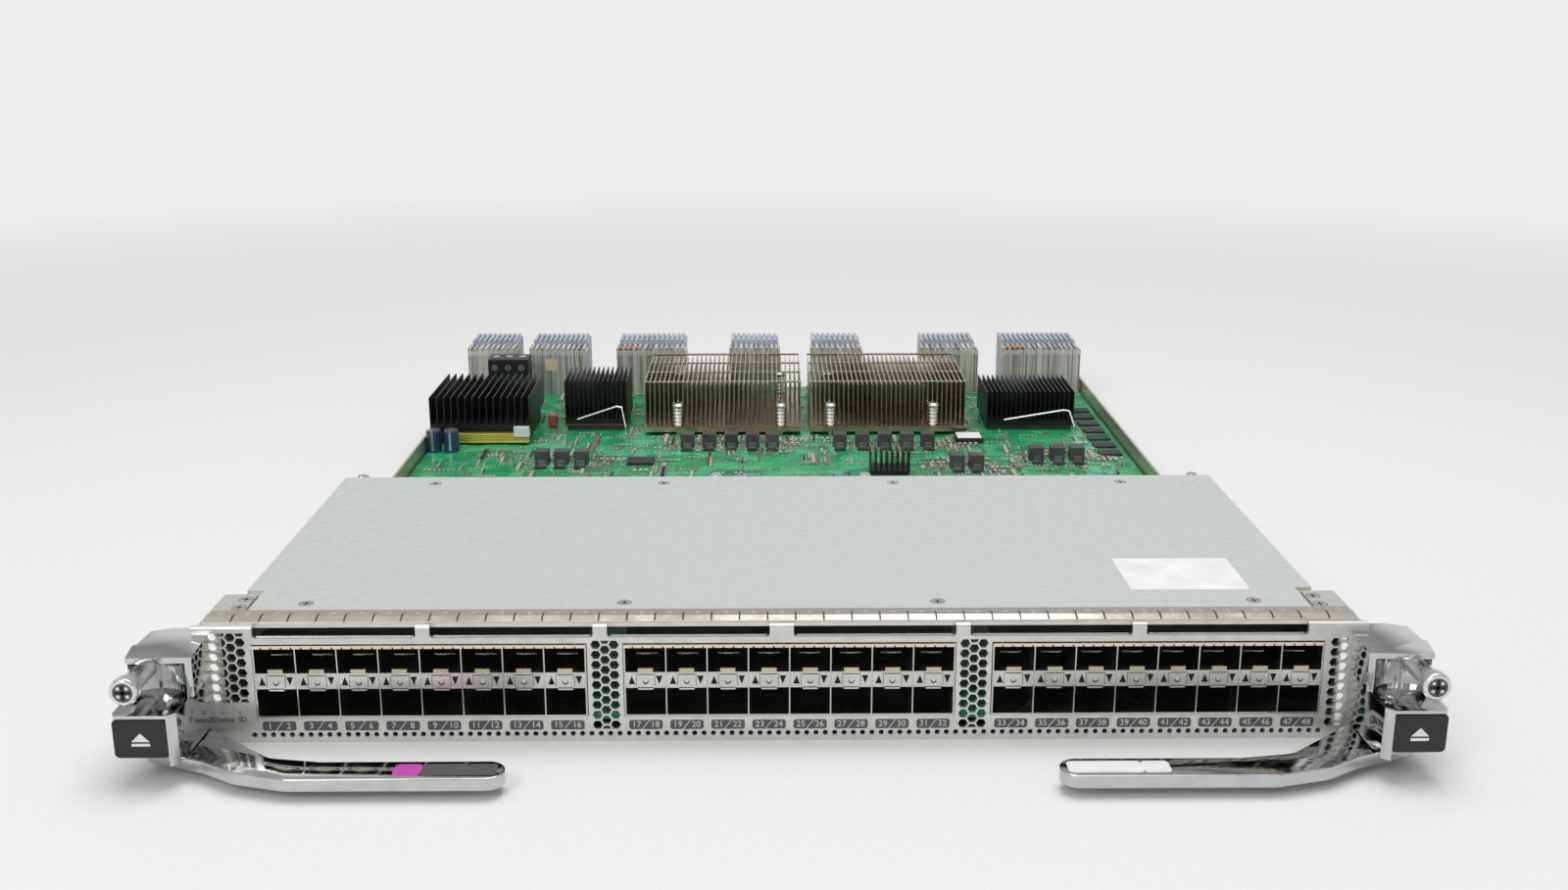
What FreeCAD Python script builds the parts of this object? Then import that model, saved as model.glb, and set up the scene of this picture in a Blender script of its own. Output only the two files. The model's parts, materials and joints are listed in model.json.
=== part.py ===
import FreeCAD, Part
import math
import os
import re

import Sketcher
from FreeCAD import Rotation, Vector

# Switch line card, in millimetres.
# X runs along the faceplate, Y from the front of the card to its rear and Z up.
# The origin lies on the underside of the tray, midway across, under the shielding gasket where
# the card meets its chassis. Every sub-part is modelled from the front face of the faceplate
# (y = 0 there) and is then set back by face_y.

SIZES = {
    # overall
    "face_y": -12,
    "gap": 0.3,
    "slip": 0.05,
    # tray
    "tray_w": 385.4,
    "tray_t": 1.2,
    "tray_rear": 494,
    "low_wall": 17.4,
    "lip_w": 6,
    # faceplate
    "face_w": 402,
    "face_h": 43,
    "face_t": 1.5,
    "flange_d": 14.5,
    "ear_in": 187.3,
    "ear_out": 199,
    "ear_rear": 31,
    "bend_r": 1.4,
    "vent_w": 55.6,
    "vent_web": 4.8,
    "vent_mid": 8.2,
    "vent_z": 38.5,
    "vent_reach": 2.6,
    "vent_corner_r": 1.2,
    "ear_screw_x": 190,
    "ear_screw_front": 18,
    "ear_screw_rear": 26,
    # honeycomb and drain holes of the faceplate
    "hex_r": 1.76,
    "hex_x": 3.13,
    "hex_z": 3.72,
    "hex_low": 6.1,
    "end_hex_r": 1.78,
    "end_hex_x": 3.23,
    "end_hex_z": 3.73,
    "end_hex_low": 16.6,
    "hex_margin": 3.9,
    "light_r": 0.75,
    "light_z": 11.4,
    "drain_r": 1,
    "drain_pitch": 3.24,
    "drain_z": 2.9,
    # ports
    "port_pitch": 14.25,
    "ports_x": 2.7,
    "group_pitch": 126.6,
    "cage_wall": 0.5,
    "cage_h": 26.2,
    "cage_d": 50,
    "cage_proud": 0.4,
    "divider_t": 0.4,
    "cage_slip": 0.1,
    "spacer_z": 20.1,
    "spacer_h": 5.8,
    "window_x": 2.1,
    "window_w": 2.3,
    "window_h": 3.1,
    "latch_w": 5.1,
    "latch_rise": 1.4,
    "latch_d": 4,
    "latch_t": 0.3,
    "connector_d": 15,
    "contact_slot": 1.3,
    "slot_margin": 1.6,
    "slot_d": 7,
    "finger_pitch": 3.5,
    "finger_gap": 0.5,
    "finger_t": 0.5,
    "finger_tail": 6,
    "finger_drop": 0.8,
    # circuit board
    "board_z": 7.2,
    "board_t": 2.4,
    "board_front": 2.5,
    "board_rear": 489,
    "board_w": 380.6,
    "post_r": 3.4,
    "post_x": 182,
    "post_front": 90,
    "post_middle": 240,
    "post_rear": 464,
    "board_screw_r": 1.5,
    "board_head_r": 3,
    "board_head_h": 2.2,
    "post_floor": 1,
    # cover and its rails
    "cover_front": 15.3,
    "cover_rear": 179,
    "cover_t": 1,
    "cover_neck": 186.6,
    "cover_shoulder": 36,
    "rail_t": 1,
    "rail_d": 9,
    "rail_screw_y": 23,
    "rear_screw_y": 169,
    "shelf_drop": 2,
    "shelf_d": 9.5,
    "shelf_screw_y": 184,
    "flush_r": 2.3,
    "flush_shank_r": 1.3,
    "flush_shank_l": 3,
    "shelf_head_r": 2.9,
    "shelf_head_h": 2.9,
    # shielding gasket
    "gasket_front": 2.8,
    "gasket_rear": 14.4,
    "gasket_h": 1.4,
    "gasket_t": 0.4,
    "gasket_pitch": 9.5,
    "gasket_inset": 1,
    "gasket_band": 4,
    "gasket_ramp": 2,
    "gasket_bow": 3,
    "gasket_slit": 0.6,
    # ejector
    "house_z": 8.4,
    "ledge_z": 26.2,
    "house_top": 40,
    "pivot_x": 206,
    "pivot_y": -8,
    "pivot_r": 2.5,
    "pivot_depth": 5.4,
    "lever_z": 3.4,
    "lever_t": 4.6,
    "lever_tip": 90,
    "lever_front": -43.6,
    "lever_back": -31,
    "lever_bend_r": 9,
    "button_in": 199.1,
    "button_out": 217.1,
    "button_z": 10.6,
    "button_h": 13.6,
    "button_front": -33.5,
    "button_rear": -17.5,
    "button_corner_r": 1.8,
    "button_rim_r": 0.6,
    "stem_r": 3,
    "stem_z": 19.6,
    "stem_rear": -6,
    "bay_rear": -13,
    "button_well_r": 4.9,
    "button_well_d": 6,
    "spring_room": 0.5,
    "stem_room": 4.5,
    "pivot_well_r": 4.6,
    "pivot_well_d": 3.4,
    "pivot_head_r": 4.5,
    "pivot_head_t": 1.4,
    "scoop_r": 11,
    "scoop_top": 2,
    # captive screw
    "screw_x": 212.4,
    "screw_z": 33.4,
    "knob_r": 4.7,
    "knob_front": -33,
    "knob_rear": -28,
    "knob_bevel": 0.6,
    "neck_r": 3.5,
    "neck_rear": -8,
    "screw_r": 2,
    "undercut_r": 1.6,
    "screw_tip": 12,
    "seat_y": -1.5,
    "house_rear": 6.7,
    "clip_t": 1,
    "clip_ring": 2,
    # large heat sinks
    "sink_w": 88.5,
    "sink_front": 371,
    "sink_d": 87,
    "sink_z": 11.6,
    "sink_base": 3,
    "sink_top": 38.4,
    "fin_front": 373,
    "fin_t": 0.5,
    "fin_count": 34,
    "sink_gap": 5.2,
    "sinks_x": 16.7,
    "near_screw": 11.5,
    "far_screw": 18.9,
    "near_notch_w": 16.5,
    "far_notch_w": 24.5,
    "notch_d": 6,
    "rear_notch": 448,
    "tab_front": 382,
    "tab_pitch": 24.4,
    "tab_t": 0.9,
    "sink_screw_inset": 4,
    "sink_screw_r": 1.6,
    "sink_head_r": 3.6,
    "sink_head_h": 2.4,
    "sink_spring_r": 3.2,
    "sink_spring_l": 10.5,
    "asic_w": 52,
    # black heat sinks over the processor, the fabric chip, the clock chip and the power module
    "cpu_x": -120.5,
    "cpu_w": 35.5,
    "cpu_y": 384,
    "cpu_d": 38,
    "cpu_z": 12.6,
    "cpu_base": 2.6,
    "cpu_top": 38,
    "fabric_x": 120.6,
    "fabric_w": 50,
    "fabric_y": 383,
    "fabric_d": 44,
    "fabric_z": 11.8,
    "fabric_top": 31.5,
    "clock_x": 48.4,
    "clock_w": 20.4,
    "clock_y": 289,
    "clock_d": 15,
    "clock_z": 11,
    "clock_base": 1.4,
    "clock_top": 22.6,
    "brick_x": -191.1,
    "brick_w": 55,
    "brick_y": 352,
    "brick_d": 60,
    "brick_z": 19,
    "brick_base": 2,
    "brick_top": 36.4,
    "clip_wire_r": 0.6,
    "cpu_clip_h": 11,
    "fabric_clip_h": 9.2,
    "clip_foot": 5.5,
    "chip_margin": 1.5,
    "chip_front": 0.8,
    # parts on the board
    "core_x": 14,
    "core_d": 4,
    "core_lift": 1.2,
    "core_drop": 3,
    "can_r": 4.1,
    "can_h": 12,
    "can_bevel": 0.8,
    "can_pitch": 9.6,
    "can_x": 4.2,
    "can_y": 12,
    "terminal_x": -174,
    "terminal_w": 24,
    "terminal_y": 446,
    "terminal_d": 16,
    "terminal_top": 37,
    "coil_w": 7.4,
    "driver_w": 6,
    "driver_d": 5,
    "driver_gap": 3,
    "driver_h": 1,
    "control_x": -79.5,
    "control_y": 310,
    "control_w": 14,
    "control_d": 12,
    "control_h": 1.5,
    "clock_box_x": 100,
    "clock_box_y": 352,
    "clock_box_w": 15,
    "clock_box_d": 14,
    "clock_box_h": 3,
    "memory_x": 175,
    "memory_y": 326,
    "memory_w": 12,
    "memory_d": 9,
    "memory_h": 1.2,
    "memory_pitch": 15.5,
    # rear connectors
    "plug_front": 471,
    "plug_front_d": 13,
    "plug_top": 38.6,
    "plug_rear_d": 22,
    "rib_pitch": 3.2,
    "rib_h": 1.6,
    "chamber_w": 1.3,
    "chamber_d": 6,
    "chamber_margin": 3,
    "plug_step": 1,
    "plug_rise": 2.4,
}

doc = FreeCAD.newDocument("LineCard")
sheet = doc.addObject("Spreadsheet::Sheet", "Sizes")
for row, (alias, value) in enumerate(SIZES.items(), start=1):
    sheet.set(f"A{row}", alias)
    sheet.set(f"B{row}", str(value))
    sheet.setAlias(f"B{row}", alias)
doc.recompute()

nodes = {}


def size(name):
    """Value of one cell of the sheet."""
    return float(sheet.get(name))


def bind(obj, path, text):
    """Bind a property to an expression, in which every plain word is a cell of the sheet."""
    obj.setExpression(path, re.sub(r"[a-z]\w*", lambda word: "Sizes." + word.group(), text))


def node(name, obj):
    """Name a finished sub-part and set it back to its place behind the origin."""
    obj.Label = name
    bind(obj, "Placement.Base.y", "face_y")
    nodes[name] = obj
    return obj


def shape_node(name, shape):
    """Sub-part whose shape comes from Part's own functions."""
    feature = doc.addObject("Part::Feature", name)
    feature.Shape = shape
    return node(name, feature)


def mirrored_node(name, source, plane="0"):
    """Right-hand sub-part, as the mirror image of the left one about a plane across X."""
    mirror = doc.addObject("Part::Mirroring", name)
    mirror.Source = source
    mirror.Normal = Vector(1, 0, 0)
    bind(mirror, "Base.x", plane)
    mirror.Label = name
    nodes[name] = mirror
    return mirror


# Sketches and features of a body


def new_body(name):
    return doc.addObject("PartDesign::Body", name)


def sketch_on(body, role, level="0"):
    """Sketch on one of the body's own planes, moved to a level along X, Y or Z."""
    name = f"{body.Name}_sketch"
    sketch = body.newObject("Sketcher::SketchObject", name)
    plane = next(item for item in body.Origin.OriginFeatures if item.Role == role)
    sketch.AttachmentSupport = [(plane, "")]
    sketch.MapMode = "FlatFace"
    sign = "-1" if role == "XZ_Plane" else "1"
    bind(sketch, "AttachmentOffset.Base.z", f"{sign} * ({level})")
    return sketch


def fix(sketch, kind, geometry, point, text):
    """Drive one coordinate of a sketch point, measured from the sketch's origin."""
    index = sketch.addConstraint(Sketcher.Constraint(kind, -1, 1, geometry, point, 1.0))
    bind(sketch, f"Constraints[{index}]", text)


def outline(sketch, corners):
    """Closed polygon, with each corner given as a pair of expressions."""
    first = sketch.GeometryCount
    count = len(corners)
    for index in range(count):
        start = Vector(index, index * index, 0)
        after = (index + 1) % count
        end = Vector(after, after * after, 0)
        sketch.addGeometry(Part.LineSegment(start, end))
    for index in range(count):
        after = (index + 1) % count
        sketch.addConstraint(Sketcher.Constraint("Coincident", first + index, 2, first + after, 1))
    for index, (across, along) in enumerate(corners):
        fix(sketch, "DistanceX", first + index, 1, across)
        fix(sketch, "DistanceY", first + index, 1, along)


def rectangle(sketch, left, low, right, high):
    outline(sketch, [(left, low), (right, low), (right, high), (left, high)])


def circle(sketch, across, along, radius):
    index = sketch.addGeometry(Part.Circle(Vector(1, 1, 0), Vector(0, 0, 1), 1))
    fix(sketch, "DistanceX", index, 3, across)
    fix(sketch, "DistanceY", index, 3, along)
    constraint = sketch.addConstraint(Sketcher.Constraint("Radius", index, 1.0))
    bind(sketch, f"Constraints[{constraint}]", radius)


def extrude(body, kind, sketch, length, towards_plus):
    """Pad or pocket of a sketch, towards the plus or the minus end of its axis."""
    feature = body.newObject(f"PartDesign::{kind}", f"{body.Name}_{kind.lower()}")
    feature.Profile = sketch
    normal_is_plus = "XZ_Plane" != sketch.AttachmentSupport[0][0].Role
    along_normal = towards_plus == normal_is_plus
    feature.Reversed = (not along_normal) if kind == "Pad" else along_normal
    bind(feature, "Length", length)
    return feature


def pad(body, sketch, length, towards_plus=True):
    return extrude(body, "Pad", sketch, length, towards_plus)


def pocket(body, sketch, length, towards_plus=True):
    return extrude(body, "Pocket", sketch, length, towards_plus)


def revolve(body, sketch, axis):
    feature = body.newObject("PartDesign::Revolution", f"{body.Name}_turning")
    feature.Profile = sketch
    feature.ReferenceAxis = (sketch, [axis])
    feature.Angle = 360
    return feature


def round_edges(body, radius, chosen):
    """Fillet on the edges of the body for which chosen(edge) is true."""
    doc.recompute()
    base = body.Tip
    names = [f"Edge{n}" for n, edge in enumerate(base.Shape.Edges, start=1) if chosen(edge)]
    fillet = body.newObject("PartDesign::Fillet", f"{body.Name}_fillet")
    fillet.Base = (base, names)
    bind(fillet, "Radius", radius)
    return fillet


def is_along(edge, axis):
    ends = [vertex.Point for vertex in edge.Vertexes]
    if len(ends) != 2:
        return False
    return abs(abs((ends[1] - ends[0]).normalize().dot(axis)) - 1) < 1e-6


# Plain solids for sub-parts that repeat


def block(x0, x1, y0, y1, z0, z1):
    return Part.makeBox(x1 - x0, y1 - y0, z1 - z0, Vector(x0, y0, z0))


def prism(corners, direction):
    """Straight prism on a flat polygon."""
    wire = Part.makePolygon(corners + corners[:1])
    return Part.Face(wire).extrude(direction)


def turned(profile, place, axis):
    """Solid of revolution from (radius, height) pairs, about an axis through a place."""
    spoke = Vector(1, 0, 0)
    corners = [place + spoke * radius + axis * height for radius, height in profile]
    wire = Part.makePolygon(corners + corners[:1])
    return Part.Face(wire).revolve(place, axis, 360)


def grid(columns, rows):
    return [(x, y) for x in columns for y in rows]


def cut_shapes(name, base, tools):
    """Sub-part left when a list of solids is taken out of a body."""
    drill = doc.addObject("Part::Feature", f"{name}_drill")
    drill.Shape = Part.makeCompound(tools)
    cut = doc.addObject("Part::Cut", name)
    cut.Base = base
    cut.Tool = drill
    return node(name, cut)


def cut_holes(name, base, places, radius, low, high):
    """Round holes along Z at a list of places."""
    tools = [Part.makeCylinder(radius, high - low, Vector(x, y, low)) for x, y in places]
    return cut_shapes(name, base, tools)


def countersink(x, y, top):
    """Conical seat of a flush screw, open above and below its sheet."""
    wide = size("flush_r") + size("slip")
    narrow = size("flush_shank_r") + size("slip")
    cone = size("cover_t")
    profile = [(0, 1), (wide, 1), (wide, 0), (narrow, -cone), (narrow, -cone - 1), (0, -cone - 1)]
    return turned(profile, Vector(x, y, top), UP)


def bent_wire(points, radius):
    """Round wire through a list of points, with a ball at each bend."""
    parts = [Part.makeSphere(radius, point) for point in points[1:-1]]
    for start, end in zip(points, points[1:]):
        parts.append(Part.makeCylinder(radius, (end - start).Length, start, end - start))
    return parts[0].multiFuse(parts[1:])


UP = Vector(0, 0, 1)
REARWARD = Vector(0, 1, 0)
board_top = size("board_z") + size("board_t")
wall_top = size("face_h") - size("face_t")


# Where the screws stand

flush_places = grid((-151, -50.5, 50.5, 151), [size("rear_screw_y")])
flush_places += grid((-168, -55.5, 55.5, 168), [size("rail_screw_y")])
shelf_places = grid((-186.5, -28, 39, 186.5), [size("shelf_screw_y")])
ear_places = grid(
    (-size("ear_screw_x"), size("ear_screw_x")),
    (size("ear_screw_front"), size("ear_screw_rear")),
)


# Tray: folded sheet with tall walls under the cover and low walls behind it

post_places = grid(
    (-size("post_x"), 0, size("post_x")),
    (size("post_front"), size("post_middle"), size("post_rear")),
)


def make_tray():
    body = new_body("tray")
    section = sketch_on(body, "XZ_Plane", "face_t")
    outline(section, [
        ("-tray_w / 2", "0"),
        ("tray_w / 2", "0"),
        ("tray_w / 2", "low_wall"),
        ("tray_w / 2 - tray_t", "low_wall"),
        ("tray_w / 2 - tray_t", "tray_t"),
        ("tray_t - tray_w / 2", "tray_t"),
        ("tray_t - tray_w / 2", "low_wall"),
        ("-tray_w / 2", "low_wall"),
    ])
    pad(body, section, "tray_rear - face_t")
    walls = sketch_on(body, "XZ_Plane", "face_t")
    for side in ("-1", "1"):
        outline(walls, [
            (f"{side} * tray_w / 2", "low_wall"),
            (f"{side} * tray_w / 2", "face_h - face_t"),
            (f"{side} * (tray_w / 2 - lip_w)", "face_h - face_t"),
            (f"{side} * (tray_w / 2 - lip_w)", "face_h - face_t - tray_t"),
            (f"{side} * (tray_w / 2 - tray_t)", "face_h - face_t - tray_t"),
            (f"{side} * (tray_w / 2 - tray_t)", "low_wall"),
        ])
    pad(body, walls, "cover_rear - face_t")
    posts = sketch_on(body, "XY_Plane", "tray_t")
    bores = sketch_on(body, "XY_Plane", "board_z")
    for across in ("-post_x", "0", "post_x"):
        for along in ("post_front", "post_middle", "post_rear"):
            circle(posts, across, along, "post_r")
            circle(bores, across, along, "board_screw_r + slip")
    pad(body, posts, "board_z - tray_t")
    pocket(body, bores, "board_z - tray_t - gap", towards_plus=False)
    lips = sketch_on(body, "XY_Plane", "face_h - face_t")
    for across in ("-ear_screw_x", "ear_screw_x"):
        for along in ("ear_screw_front", "ear_screw_rear"):
            circle(lips, across, along, "flush_shank_r + slip")
    pocket(body, lips, "tray_t", towards_plus=False)
    node("tray", body)


# Faceplate: pressed sheet with three port windows, six vents over its top bend and two ears


def hexagon(x, z, radius):
    """Six-sided hole through the faceplate, with a corner at its left and right."""
    corners = []
    for turn in range(6):
        spoke = Rotation(REARWARD, 60 * turn).multVec(Vector(radius, 0, 0))
        corners.append(Vector(x, -1, z) + spoke)
    return prism(corners, Vector(0, size("face_t") + 2, 0))


def honeycomb(columns, first_z, radius, pitch, rows):
    """Staggered columns of hexagons; the columns between them end in half holes."""
    flat = radius * math.cos(math.pi / 6)
    low = first_z - flat
    high = first_z + (rows - 1) * pitch + flat
    window = block(columns[0] - 10, columns[-1] + 10, -1, 5, low, high)
    holes = []
    for index, x in enumerate(columns):
        between = index % 2
        for row in range(rows + between):
            hole = hexagon(x, first_z + (row - between / 2) * pitch, radius)
            holes.append(hole.common(window) if between else hole)
    return holes


def honeycomb_strips():
    centres = port_centres()
    half_group = 4 * size("port_pitch")
    step = size("hex_x")
    strips = []
    for first, second in zip(centres, centres[1:]):
        middle = (first + second) / 2
        strips.append([middle - step, middle, middle + step])
    right = centres[-1] + half_group + size("hex_margin")
    strips.append([right, right + step])
    holes = []
    for columns in strips:
        holes += honeycomb(columns, size("hex_low"), size("hex_r"), size("hex_z"), 9)
    left = centres[0] - half_group - size("hex_margin")
    step = size("end_hex_x")
    columns = [left - count * step for count in (3, 2, 1, 0)]
    holes += honeycomb(columns, size("end_hex_low"), size("end_hex_r"), size("end_hex_z"), 7)
    return holes


def lamp_and_drain_holes():
    centres = port_centres()
    half_group = 4 * size("port_pitch")
    left = centres[0] - half_group - size("hex_margin")
    holes = []
    for steps in (2.5, 0.6):
        place = Vector(left - steps * size("end_hex_x"), -1, size("light_z"))
        holes.append(Part.makeCylinder(size("light_r"), size("face_t") + 2, place, REARWARD))
    pitch = size("drain_pitch")
    first = centres[0] - half_group
    count = int((centres[-1] + half_group - first) / pitch) + 2
    for index in range(count):
        holes.append(hexagon(first + (index - 0.5) * pitch, size("drain_z"), size("drain_r")))
    return holes


def port_centres():
    pitch = size("group_pitch")
    return [size("ports_x") + step * pitch for step in (-1, 0, 1)]


def make_faceplate():
    body = new_body("faceplate_blank")
    front = sketch_on(body, "XZ_Plane")
    rectangle(front, "-face_w / 2", "0", "face_w / 2", "face_h")
    pad(body, front, "face_t")
    flange = sketch_on(body, "XY_Plane", "face_h - face_t")
    outline(flange, [
        ("-ear_out", "0"),
        ("ear_out", "0"),
        ("ear_out", "ear_rear"),
        ("ear_in", "ear_rear"),
        ("ear_in", "flange_d"),
        ("-ear_in", "flange_d"),
        ("-ear_in", "ear_rear"),
        ("-ear_out", "ear_rear"),
    ])
    pad(body, flange, "face_t")

    def is_bend(edge):
        middle = edge.BoundBox.Center
        flat = abs(middle.y) < 1e-6 and abs(middle.z - size("face_h")) < 1e-6
        return flat and is_along(edge, Vector(1, 0, 0))

    round_edges(body, "bend_r", is_bend)
    windows = sketch_on(body, "XZ_Plane")
    for step in ("-1", "0", "1"):
        centre = f"(ports_x + {step} * group_pitch)"
        reach = "(4 * port_pitch + gap - 0.1)"
        low = "board_z + board_t - gap"
        high = "board_z + board_t + cage_h + 2 * gap"
        rectangle(windows, f"{centre} - {reach}", low, f"{centre} + {reach}", high)
    pocket(body, windows, "face_t")
    vents = sketch_on(body, "XZ_Plane")
    for side in ("-1", "1"):
        for step in ("0", "1", "2"):
            inner = f"(vent_mid / 2 + {step} * (vent_w + vent_web))"
            rectangle(vents, f"{side} * {inner}", "vent_z", f"{side} * ({inner} + vent_w)", "face_h + 1")
    pocket(body, vents, "vent_reach")

    def is_vent_corner(edge):
        middle = edge.BoundBox.Center
        return is_along(edge, REARWARD) and abs(middle.z - size("vent_z")) < 1e-6

    round_edges(body, "vent_corner_r", is_vent_corner)
    punched = honeycomb_strips() + lamp_and_drain_holes()
    punched += [countersink(x, y, size("face_h")) for x, y in ear_places]
    cut_shapes("faceplate", body, punched)


# Cover, the two rails that it is screwed to, and their screws

def make_cover():
    body = new_body("cover_sheet")
    plan = sketch_on(body, "XY_Plane", "face_h - face_t")
    outline(plan, [
        ("-cover_neck", "cover_front"),
        ("cover_neck", "cover_front"),
        ("cover_neck", "cover_shoulder"),
        ("tray_w / 2", "cover_shoulder"),
        ("tray_w / 2", "cover_rear"),
        ("-tray_w / 2", "cover_rear"),
        ("-tray_w / 2", "cover_shoulder"),
        ("-cover_neck", "cover_shoulder"),
    ])
    pad(body, plan, "cover_t")
    top = wall_top + size("cover_t")
    cut_shapes("front_cover", body, [countersink(x, y, top) for x, y in flush_places])


def make_front_rail():
    body = new_body("front_rail_bar")
    section = sketch_on(body, "YZ_Plane", "lip_w - tray_w / 2 + gap")
    top = "face_h - face_t"
    low = "board_z + board_t + cage_h + gap"
    front = "(rail_screw_y - rail_d / 2)"
    rear = "(rail_screw_y + rail_d / 2)"
    outline(section, [
        (front, low),
        (front, top),
        (rear, top),
        (rear, low),
        (f"{rear} - rail_t", low),
        (f"{rear} - rail_t", f"{top} - rail_t"),
        (f"{front} + rail_t", f"{top} - rail_t"),
        (f"{front} + rail_t", low),
    ])
    pad(body, section, "tray_w - 2 * lip_w - 2 * gap")
    places = [place for place in flush_places if place[1] == size("rail_screw_y")]
    cut_holes("front_rail", body, places, size("flush_shank_r") + size("slip"), wall_top - 3, wall_top + 1)


def make_rear_rail():
    body = new_body("rear_rail_bar")
    section = sketch_on(body, "YZ_Plane", "lip_w - tray_w / 2 + gap")
    top = "(face_h - face_t)"
    front = "(rear_screw_y - rail_d / 2)"
    outline(section, [
        (front, f"{top} - rail_t"),
        ("cover_rear - rail_t", f"{top} - rail_t"),
        ("cover_rear - rail_t", f"{top} - shelf_drop - rail_t"),
        ("cover_rear + gap", f"{top} - shelf_drop - rail_t"),
        ("cover_rear + gap", f"{top} - shelf_drop"),
        ("cover_rear", f"{top} - shelf_drop"),
        ("cover_rear", top),
        (front, top),
    ])
    pad(body, section, "tray_w - 2 * lip_w - 2 * gap")
    shelf = sketch_on(body, "XY_Plane", f"{top} - shelf_drop")
    rectangle(shelf, "-tray_w / 2", "cover_rear + gap", "tray_w / 2", "cover_rear + shelf_d")
    pad(body, shelf, "rail_t", towards_plus=False)
    places = [place for place in flush_places if place[1] == size("rear_screw_y")]
    places += shelf_places
    cut_holes("rear_rail", body, places, size("flush_shank_r") + size("slip"), wall_top - 5, wall_top + 1)


def flush_screw(x, y, top):
    head_r = size("flush_r")
    shank_r = size("flush_shank_r")
    head_t = size("cover_t")
    tip = -head_t - size("flush_shank_l")
    profile = [(0, 0), (head_r, 0), (shank_r, -head_t), (shank_r, tip), (0, tip)]
    return turned(profile, Vector(x, y, top), UP)


def pan_screw(x, y, seat, head_r, head_h, shank_r, shank_l):
    profile = [
        (0, -shank_l),
        (shank_r, -shank_l),
        (shank_r, 0),
        (head_r, 0),
        (head_r, head_h * 0.45),
        (head_r * 0.72, head_h * 0.88),
        (0, head_h),
    ]
    return turned(profile, Vector(x, y, seat), UP)


def make_cover_screws():
    top = wall_top + size("cover_t")
    screws = [flush_screw(x, y, top) for x, y in flush_places]
    screws += [flush_screw(x, y, size("face_h")) for x, y in ear_places]
    shape_node("cover_screws", Part.makeCompound(screws))
    seat = wall_top - size("shelf_drop")
    shank_r = size("flush_shank_r")
    head_r = size("shelf_head_r")
    head_h = size("shelf_head_h")
    shank_l = size("flush_shank_l")
    heads = [pan_screw(x, y, seat, head_r, head_h, shank_r, shank_l) for x, y in shelf_places]
    shape_node("shelf_screws", Part.makeCompound(heads))


# Gasket: one springy strip of bowed segments on the top flange of the faceplate


def make_gasket():
    seat = size("face_h")
    front = size("gasket_front")
    rear = size("gasket_rear")
    thick = size("gasket_t")
    rise = size("gasket_h")
    half = size("ear_out") - size("gasket_inset")
    band_front = rear - size("gasket_band")
    ramp_front = band_front - size("gasket_ramp")
    count = int(2 * half / size("gasket_pitch"))
    pitch = 2 * half / count
    slit = size("gasket_slit")
    segments = [block(-half, half, band_front, rear, seat, seat + thick)]
    for index in range(count):
        left = -half + index * pitch + slit / 2
        section = [
            Vector(left, band_front, seat),
            Vector(left, band_front, seat + thick),
            Vector(left, ramp_front, seat + rise),
            Vector(left, front + size("gasket_bow"), seat + rise),
            Vector(left, front, seat + thick),
            Vector(left, front, seat),
        ]
        segments.append(prism(section, Vector(pitch - slit, 0, 0)))
    strip = segments[0].multiFuse(segments[1:]).removeSplitter()
    shape_node("faceplate_gasket", strip)


# Circuit board on nine posts


def make_board():
    body = new_body("board_blank")
    plan = sketch_on(body, "XY_Plane", "board_z")
    rectangle(plan, "-board_w / 2", "board_front", "board_w / 2", "board_rear")
    pad(body, plan, "board_t")
    radius = size("board_screw_r") + size("gap")
    cut_holes("main_board", body, post_places, radius, size("board_z") - 1, board_top + 1)
    shank = size("board_screw_r")
    head_r = size("board_head_r")
    head_h = size("board_head_h")
    length = size("board_z") + size("board_t") - size("tray_t") - size("post_floor")
    screws = [pan_screw(x, y, board_top, head_r, head_h, shank, length) for x, y in post_places]
    shape_node("board_screws", Part.makeCompound(screws))


# Port cages: a shell, seven dividers, a folded spacer in each column and stacked connectors


def spacer(left, width):
    """Folded sheet between an upper and a lower port, with its two windows and latch tongues."""
    low = size("spacer_z")
    high = low + size("spacer_h")
    front = -size("cage_proud")
    rear = size("cage_d") - size("connector_d") - 1
    sheet = size("divider_t")
    right = left + width
    middle = (left + right) / 2
    fold = block(left, right, front, rear, low, high)
    fold = fold.cut(block(left - 1, right + 1, front + sheet, rear + 1, low + sheet, high - sheet))
    half = size("window_w") / 2
    inset = size("window_x")
    tall = size("window_h")
    for centre, up in ((left + inset, 1), (right - inset, -1)):
        base_z = (low + high) / 2 - up * tall / 2
        corners = [
            Vector(centre - half, front - 1, base_z),
            Vector(centre + half, front - 1, base_z),
            Vector(centre, front - 1, base_z + up * tall),
        ]
        fold = fold.cut(prism(corners, Vector(0, sheet + 2, 0)))
    reach = size("latch_w") / 2
    rise = size("latch_rise")
    root = front + size("latch_d")
    lip = front + size("latch_t")
    upper = [
        Vector(middle - reach, root, high),
        Vector(middle - reach, lip, high + rise),
        Vector(middle - reach, front, high + rise),
        Vector(middle - reach, front, high - 0.1),
    ]
    lower = [
        Vector(middle - reach, root, low),
        Vector(middle - reach, front, low),
        Vector(middle - reach, front, low - rise / 2),
        Vector(middle - reach, lip, low - rise / 2),
    ]
    across = Vector(2 * reach, 0, 0)
    return fold.multiFuse([prism(upper, across), prism(lower, across)])


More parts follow.
